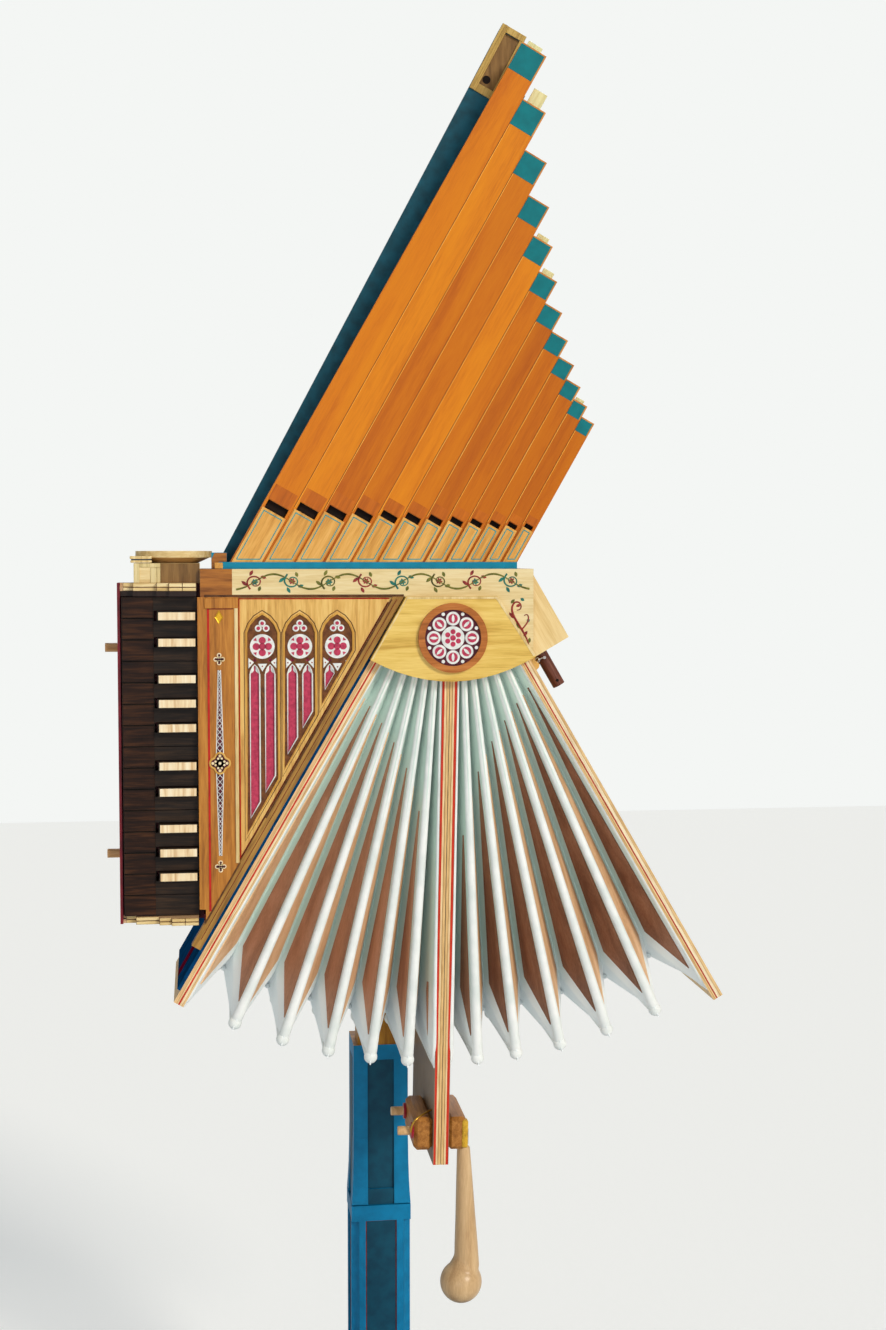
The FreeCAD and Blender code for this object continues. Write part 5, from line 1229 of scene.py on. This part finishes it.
bm = bmesh.new()
rest_layer(bm, 0.4, 3.0, -0.2842, -0.2622, -2.4, 60)
rest_layer(bm, 4.2, 7.4, -0.2848, -0.2622, -2.4, 60)
finish_piece("rest_cap_layers", bm, LIGHT_MAPLE, bevel_mm=0.9, segments=3)
bm = bmesh.new()
rest_layer(bm, 2.8, 4.4, -0.2834, -0.2630, -1.6, 59)
finish_piece("rest_cap_line", bm, NAVY)
bm = bmesh.new()
turned_pin(bm, Vector((BOWL_X, FRONT + 47 * MM, BOX_TOP + 3.0 * MM)), Vector((0, 0, 1)), 25.6, 38, 5.8, 64)
finish_piece("rest_bowl", bm, TAN_REST, bevel_mm=0.6)

# ---------------------------------------------------------------- catch, pump block and handle

CATCH_LOW, CATCH_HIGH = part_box("latch_bracket")
TOGGLE_LOW, TOGGLE_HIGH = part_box("latch_toggle")
PIN = Vector(JOINTS["toggle_turn"]["pos_m"])
TOGGLE_MID = Vector((PIN.x, (TOGGLE_LOW.y + TOGGLE_HIGH.y) / 2, PIN.z))


def on_toggle(down, out, near):
    """A point by the toggle: mm down its length from the pin, out from the board and before its middle."""
    return TOGGLE_MID + slant(1, down, out) - APEX - Vector((0, near * MM - APEX.y, 0))


def ring_at(name, centre, axis, radius_mm, thick_mm, body):
    """A ring of round steel wire about an axis."""
    side = axis.orthogonal().normalized()
    other = axis.cross(side).normalized()
    turns = [2 * math.pi * part / 24 for part in range(24)]
    wire(name, [centre + (side * math.cos(turn) + other * math.sin(turn)) * radius_mm * MM for turn in turns],
         thick_mm, STEEL, body, closed=True)


# The catch's bracket: an ogee block on the board in front, and a full cheek behind the toggle.
OGEE = ((163.8, 5.9), (163.8, 20.5), (166.5, 22.8), (170, 22.6), (173.2, 19.8), (176.2, 18.8),
        (179.4, 20.2), (182.4, 20.6), (184.8, 18.2), (186, 13.0), (186, 5.9))
BASE = ((163.8, 5.9), (163.8, 16.0), (186, 16.0), (186, 5.9))
CHEEK = ((166, 5.9), (166, 16.0), (173.2, 20), (173.2, 34), (176, 36.2), (184.8, 36.2), (184.8, 17),
         (186, 13), (186, 5.9))
bm = bmesh.new()
for outline, low, high in ((OGEE, CATCH_LOW.y + 0.3 * MM, TOGGLE_LOW.y - 0.6 * MM),
                           (BASE, TOGGLE_LOW.y - 0.6 * MM, TOGGLE_HIGH.y + 0.4 * MM),
                           (CHEEK, TOGGLE_HIGH.y + 0.4 * MM, CATCH_HIGH.y - 0.3 * MM)):
    slab(bm, [slant(1, u, v, low) for u, v in outline], Vector((0, high - low, 0)))
bracket = finish_piece("ogee_bracket", bm, TAN_MAPLE, bevel_mm=0.8, segments=3, slot="maple")
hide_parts("latch_bracket")
bm = bmesh.new()
turned_pin(bm, Vector((PIN.x, (CATCH_HIGH.y + TOGGLE_LOW.y) / 2 - 1.5 * MM, PIN.z)), Vector((0, -1, 0)),
           1.6, 1.6, (CATCH_HIGH.y - TOGGLE_LOW.y) / MM, 20)
finish_piece("catch_pin", bm, STEEL, bevel_mm=0.3)

# A dark disc on the toggle is painted shade standing for its hole.
bm = bmesh.new()
made = bmesh.ops.create_circle(bm, cap_ends=True, radius=1.7 * MM, segments=20)
bmesh.ops.transform(bm, matrix=Matrix.Translation(on_toggle(29.5, 0, 7.35)) @ FACING, verts=made["verts"])
draw_out(bm, made["verts"][0].link_faces[0], (0, 1.6 * MM, 0))
finish_piece("toggle_hole", bm, PAINTED_HOLE_SHADE, body="toggle")
ring_at("toggle_eye", on_toggle(-2.0, -8.6, 9.8), Vector((0.3, 1, 0.1)).normalized(), 2.6, 0.55, "instrument")
wire("toggle_wire", [on_toggle(3.4, -14.0, 8.9), on_toggle(-1.0, -9.4, 8.9), on_toggle(-2.8, -5.5, 8.9),
                     on_toggle(-0.2, 0, 8.7)], 0.6, STEEL, "instrument")

lean = math.radians(PUMP_LEAN)
PUMP_OUT = Vector((math.cos(lean), 0, -math.sin(lean)))
PUMP_UP = Vector((math.sin(lean), 0, math.cos(lean)))
DOWEL_DROP = 540.7


def on_pump(across, y, drop):
    """A point of the pump: across and drop in millimetres from the pin, y in millimetres from the front."""
    return Vector((PIVOT.x, FRONT + y * MM, PIVOT.z)) + PUMP_OUT * across * MM - PUMP_UP * drop * MM


def pump_block(bm, near, far, high, low, y, deep):
    """A block across the pump from near to far, with its front y mm behind the case's front."""
    outline = [on_pump(across, y, drop) for across, drop in oblong(near, high, far, low)]
    slab(bm, outline, Vector((0, deep * MM, 0)))


# The chamfered oak blocks on both sides of the boards, with two beech dowels through red felt washers.
bm = bmesh.new()
for near, far in ((-29.0, -8.5), (8.5, 29.0)):
    pump_block(bm, near, far, 525, 561, 6, 88)
block = finish_piece("oak_blocks", bm, OAK, bevel_mm=4.0, segments=1, slot="walnut", body="pump")
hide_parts("pump_block")
dowels = bmesh.new()
washers = bmesh.new()
for y in (15, 85):
    turned_pin(dowels, on_pump(-29.0 - 8.0, y, DOWEL_DROP), -PUMP_OUT, 5.0, 4.8, 18)
    turned_pin(washers, on_pump(-29.0 - 1.5, y, DOWEL_DROP), -PUMP_OUT, 9.0, 8.6, 3)
finish_piece("beech_dowels", dowels, BEECH, bevel_mm=0.7, body="pump")
finish_piece("felt_washers", washers, RED_FELT, bevel_mm=0.6, body="pump")
# A brass wire hook runs from the boards round the near dowel.
HOOK = ((-8.6, 20, 520), (-15, 14, 520.5), (-24, 7, 523), (-30.6, 3.4, 527.5), (-32.6, 4.2, 534),
        (-32.4, 7.6, 540))
wire("brass_hook", [on_pump(*place) for place in HOOK], 1.2, BRASS, "pump")
# The right block's near corner is rounded and waxed yellow beside the eye.
bm = bmesh.new()
pump_block(bm, 23.5, 30.6, 528, 559, 4.6, 12)
finish_piece("block_corner", bm, YELLOW_WAX, bevel_mm=2.6, segments=4, body="pump")

# The club: a turned neck that swells to a ball set off to the left, blended into one form.
EYE = Vector(JOINTS["handle_swing"]["pos_m"])
HANDLE_Y = (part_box("pump_handle")[0].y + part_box("pump_handle")[1].y) / 2
CLUB_LEAN = math.radians(1.6)
CLUB_PROFILE = ((8.0, 5.0), (8.8, 6.6), (10.5, 7.4), (45, 9.2), (90, 11.4), (120, 13.1), (147, 14.2))


def on_club(aside, drop):
    """A point of the club's middle plane, in millimetres from the eye."""
    return Vector((EYE.x + aside * MM, HANDLE_Y, EYE.z - drop * MM))


bm = bmesh.new()
for (high, wide), (low, broad) in zip(CLUB_PROFILE, CLUB_PROFILE[1:]):
    made = bmesh.ops.create_cone(bm, cap_ends=True, segments=48, radius1=broad * MM, radius2=wide * MM,
                                 depth=(low - high) * MM)
    centre = on_club(math.sin(CLUB_LEAN) * (low + high) / 2, (low + high) / 2)
    bmesh.ops.transform(bm, matrix=Matrix.Translation(centre) @ Matrix.Rotation(-CLUB_LEAN, 4, "Y"),
                        verts=made["verts"])
sphere(bm, on_club(-2.5, 164), 23.6, 48, 32)
# A sloping shoulder fills the crook between neck and ball.
for drop, wide, aside in ((138, 13.6, 2.6), (144, 15.0, 1.8), (150, 17.0, 0.6)):
    sphere(bm, on_club(aside, drop), wide, 32, 20)
club = finish_piece("turned_club", bm, CLUB_WOOD, smooth=True, body=None)
weld = club.modifiers.new("one_form", "REMESH")
weld.mode = "VOXEL"
weld.voxel_size = 1.3 * MM
weld.use_smooth_shade = True
soften = club.modifiers.new("sanded", "SMOOTH")
soften.factor = 0.5
soften.iterations = 7
shaped = as_mesh(club)
club.modifiers.clear()
club.data = shaped
smooth_mesh(shaped)
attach(club, "handle")
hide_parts("pump_handle")
ring_at("handle_ring", on_club(0, 1.0), Vector((1, 0, 0)), 3.0, 0.8, "handle")
wire("handle_shank", [on_club(0, 4), on_club(0, 10)], 1.3, STEEL, "handle", straight=True)

# ---------------------------------------------------------------- the column and its stand

SLEEVE_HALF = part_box("stand_sleeve")[1].x
SLEEVE_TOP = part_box("stand_sleeve")[1].z
COLUMN_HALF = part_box("stand_column")[1].y
PANEL_MARGIN = 17 * MM
PANEL_SINK = 3 * MM
PANEL_RAIL = 19 * MM
SLEEVE_PANEL_FOOT = 0.083
COLUMN_PANEL_TOP = 0.5868
STRIPE_HALF = 0.55 * MM
SCOOP = ((0.1, 0.490), (0.5, 0.462), (1.1, 0.440), (2.0, 0.423), (2.9, 0.4095))


def quarter_turn(face):
    """Turns the stand's front to another of its faces, counted in quarter turns."""
    return Matrix.Rotation(face * QUARTER, 3, "Z")


def stand_plate(bm, face, half, left, right, low, high, sink, rise):
    """A plate on one of the stand's four faces, which lie half from its middle."""
    turned = quarter_turn(face)
    slab(bm, [turned @ Vector((x, sink - half, z)) for x, z in oblong(left, low, right, high)],
         turned @ Vector((0, -rise * MM, 0)))


panels = bmesh.new()
stripes = bmesh.new()
half = SLEEVE_HALF - PANEL_MARGIN - 0.1 * MM
edge = half - 0.1 * MM
low, high = SLEEVE_PANEL_FOOT + 0.1 * MM, SLEEVE_TOP - PANEL_RAIL - 0.1 * MM
for face in range(4):
    stand_plate(panels, face, SLEEVE_HALF, -half, half, low, high, PANEL_SINK, 0.3)
    # A pinstripe runs round each panel.
    for place in ((-edge, 2 * STRIPE_HALF - edge, low, high), (edge - 2 * STRIPE_HALF, edge, low, high),
                  (-edge, edge, low, low + 2 * STRIPE_HALF), (-edge, edge, high - 2 * STRIPE_HALF, high)):
        stand_plate(stripes, face, SLEEVE_HALF, *place, PANEL_SINK - 0.3 * MM, 0.25)
finish_piece("sleeve_panels", panels, BLUE_DEEP, body="stand")
finish_piece("sleeve_pinstripes", stripes, PINSTRIPE, body="stand")
panels = bmesh.new()
foot = SLEEVE_TOP + 0.5 * MM
corner = COLUMN_HALF - PANEL_MARGIN
half = corner - 0.1 * MM
for face, low, high, sink in ((0, foot + PANEL_RAIL, COLUMN_PANEL_TOP, PANEL_SINK),
                              (0, foot, foot + PANEL_RAIL, 0), (1, foot, COLUMN_PANEL_TOP, 0)):
    for opposite in (face, face + 2):
        stand_plate(panels, opposite, COLUMN_HALF, -half, half, low, high, sink, 0.3)
finish_piece("column_panels", panels, BLUE_DEEP)
# The column's corners flare out in a scoop to meet the sleeve.
flares = bmesh.new()
for face in range(4):
    turned = quarter_turn(face)
    rings = []
    for out, z in SCOOP:
        far = COLUMN_HALF + out * MM
        rings.append([flares.verts.new(turned @ Vector((x, y, z))) for x, y in (
            (corner, -corner), (far, -corner), (far, -far), (corner, -far))])
    for upper, lower in zip(rings, rings[1:]):
        for i in range(4):
            flares.faces.new((upper[i], upper[(i + 1) % 4], lower[(i + 1) % 4], lower[i]))
    flares.faces.new(rings[0][::-1])
    flares.faces.new(rings[-1])
finish_piece("column_flares", flares, STAND_BLUE)

# ---------------------------------------------------------------- looks of the CAD nodes

PAINT_TOP = 0.6055


def column_finish(name):
    """The column: sea blue below, a bare ochre pine neck above."""
    material, tree, principled = new_material(name, 0.5, Specular_IOR_Level=0.2)
    height = add_node(tree, "SeparateXYZ", {"Vector": local_coordinates(tree)})
    above = add_node(tree, "Math", {0: height.outputs["Z"], 1: PAINT_TOP}, operation="GREATER_THAN")
    factor, fine = grain_factor(tree, local_coordinates(tree, stretch=along("Z")), 10, 1.1)
    pine = add_node(tree, "ValToRGB", {"Fac": factor}, [(0.34, "#7E5216"), (0.5, "#A06C20"), (0.66, "#BC8430")])
    cloud = add_node(tree, "TexNoise", {"Vector": local_coordinates(tree), "Scale": 60.0, "Detail": 3.0})
    blue = add_node(tree, "ValToRGB", {"Fac": cloud.outputs["Fac"]},
                    [(0.35, STAND_SHADES[1]), (0.62, STAND_SHADES[0])])
    either = add_node(tree, "Mix", {0: above.outputs[0], 6: blue.outputs["Color"], 7: pine.outputs["Color"]},
                      data_type="RGBA")
    finish_surface(tree, principled, either.outputs[2], fine, 0.3, 0.12)
    return material


COLUMN = column_finish("column_finish")
CHEEKS_LONG = 360.1
CHEEK_LAYERS = laminated("cheek_layers", CHEEKS_LONG, [
    (3.6, "#EBC9A0"), (4.4, "#33261C"), (8.2, "#E3B98A"), (351.6, "#2A1A12"), (355.0, "#EBC9A0"),
    (355.8, "#3A2A1C"), (360.1, "#E6BE90")], centre=(0, 0, 0.8083 + CHEEKS_LONG / 2 * MM), axis="Z")
FRONT_PIPE = pipe_timber("stained_pear", PIPE_LEAN, FRONT_WIDE, FRONT_LEFT, [
    (0.0, "#EC9A0C"), (0.35, "#E08604"), (0.65, "#D27800"), (1.0, "#C06800")])

LOOKS = {
    "stand_base": STAND_BLUE, "stand_sleeve": STAND_BLUE, "stand_column": COLUMN,
    "wind_chest": WALNUT, "frieze_board": IVORY, "toe_board": BLUE, "window_panel": MAPLE,
    "window_tracery": TRACERY, "pilaster": WALNUT_UPRIGHT, "diagonal_rail": WALNUT_SLANT,
    "backing_board": BOARD_BLUE, "hinge_cover": MAPLE_LEVEL, "back_cover": MAPLE, "hinge_pin": STEEL,
    "key_pivot_rod": STEEL, "rosette": ROSETTE_WOOD, "left_bellows_board": LEFT_BOARD,
    "right_bellows_board": RIGHT_BOARD, "wind_box": MAPLE_DEEP, "key_frame": WINE,
    "key_cheeks": CHEEK_LAYERS, "pallet_box": LIGHT_MAPLE, "strap_pegs": BEECH_PEG,
    "hand_rest": REST_MAPLE, "front_pipes": FRONT_PIPE, "rear_pipes": BLUE_PIPE, "pipe_caps": CAP_WOOD,
    "latch_bracket": TAN_MAPLE, "latch_toggle": TOGGLE_WOOD, "pump_boards": PUMP_BOARD, "pump_block": OAK,
    "handle_eye": STEEL}
for node in frame["nodes"]:
    material = LOOKS.get(node, ROSEWOOD_TAIL if node.startswith("key_") else None)
    if material:
        slots = frame["nodes"][node].data.materials
        slots.clear()
        slots.append(material)

# ---------------------------------------------------------------- camera, light and the floor

scene = bpy.context.scene
scene.view_settings.view_transform = "Standard"
camera_data = bpy.data.cameras.new("camera")
camera_data.sensor_fit = "VERTICAL"
camera_data.sensor_height = 36.0
camera_data.lens = 48.18
camera = bpy.data.objects.new("camera", camera_data)
camera.location = (-0.2127, -2.1490, 1.1954)
camera.rotation_euler = (math.radians(90 - 3.472), 0, math.radians(-7.774))
scene.collection.objects.link(camera)
scene.camera = camera


def soft_lamp(name, place, softness, strength, colour="#FFFFFF"):
    """A far lamp behind a wide diffuser: it lights everything alike, with soft shadows."""
    lamp = bpy.data.lights.new(name, "SUN")
    lamp.angle = math.radians(softness)
    lamp.energy = strength
    lamp.color = linear(colour)[:3]
    holder = bpy.data.objects.new(name, lamp)
    holder.location = place
    holder.rotation_euler = (-Vector(place)).to_track_quat("-Z", "Y").to_euler()
    scene.collection.objects.link(holder)


soft_lamp("key_light", (1.5, -2.4, 1.5), 16, 1.9, "#FFF7EC")
soft_lamp("fill_light", (-0.7, -2.6, -0.35), 40, 0.95, "#F2F6FF")
soft_lamp("back_light", (0.4, 2.2, 1.6), 30, 0.8)

world = bpy.data.worlds.new("studio")
scene.world = world
world.use_nodes = True
sky = world.node_tree
sky.nodes.clear()
rays = add_node(sky, "LightPath")
seen = add_node(sky, "Background", {"Color": linear("#F4F6F4"), "Strength": 1.0})
cast = add_node(sky, "Background", {"Color": linear("#E8ECF0"), "Strength": 0.36})
chosen = add_node(sky, "MixShader", {
    0: rays.outputs["Is Camera Ray"], 1: cast.outputs[0], 2: seen.outputs[0]})
add_node(sky, "OutputWorld", {"Surface": chosen.outputs[0]})

paper, tree, principled = new_material("floor_paper", 0.8, Specular_IOR_Level=0.1)
speckle = add_node(tree, "TexNoise", {"Vector": local_coordinates(tree), "Scale": 160.0, "Detail": 2.0})
tone = add_node(tree, "ValToRGB", {"Fac": speckle.outputs["Fac"]}, [(0.3, "#ECEEEC"), (0.7, "#F4F5F3")])
tree.links.new(tone.outputs["Color"], principled.inputs["Base Color"])
glow = add_node(tree, "LightPath")
lifted = add_node(tree, "Math", {0: glow.outputs["Is Camera Ray"], 1: 0.22}, operation="MULTIPLY")
principled.inputs["Emission Color"].default_value = linear("#F4F6F4")
tree.links.new(lifted.outputs[0], principled.inputs["Emission Strength"])

floor_mesh = bpy.data.meshes.new("studio_floor")
bm = bmesh.new()
bmesh.ops.create_grid(bm, x_segments=1, y_segments=1, size=6)
bmesh.ops.translate(bm, verts=bm.verts, vec=(0, 0, CAD_BOX[0][2]))
bm.to_mesh(floor_mesh)
bm.free()
floor = bpy.data.objects.new("studio_floor", floor_mesh)
scene.collection.objects.link(floor)
floor_mesh.materials.append(paper)
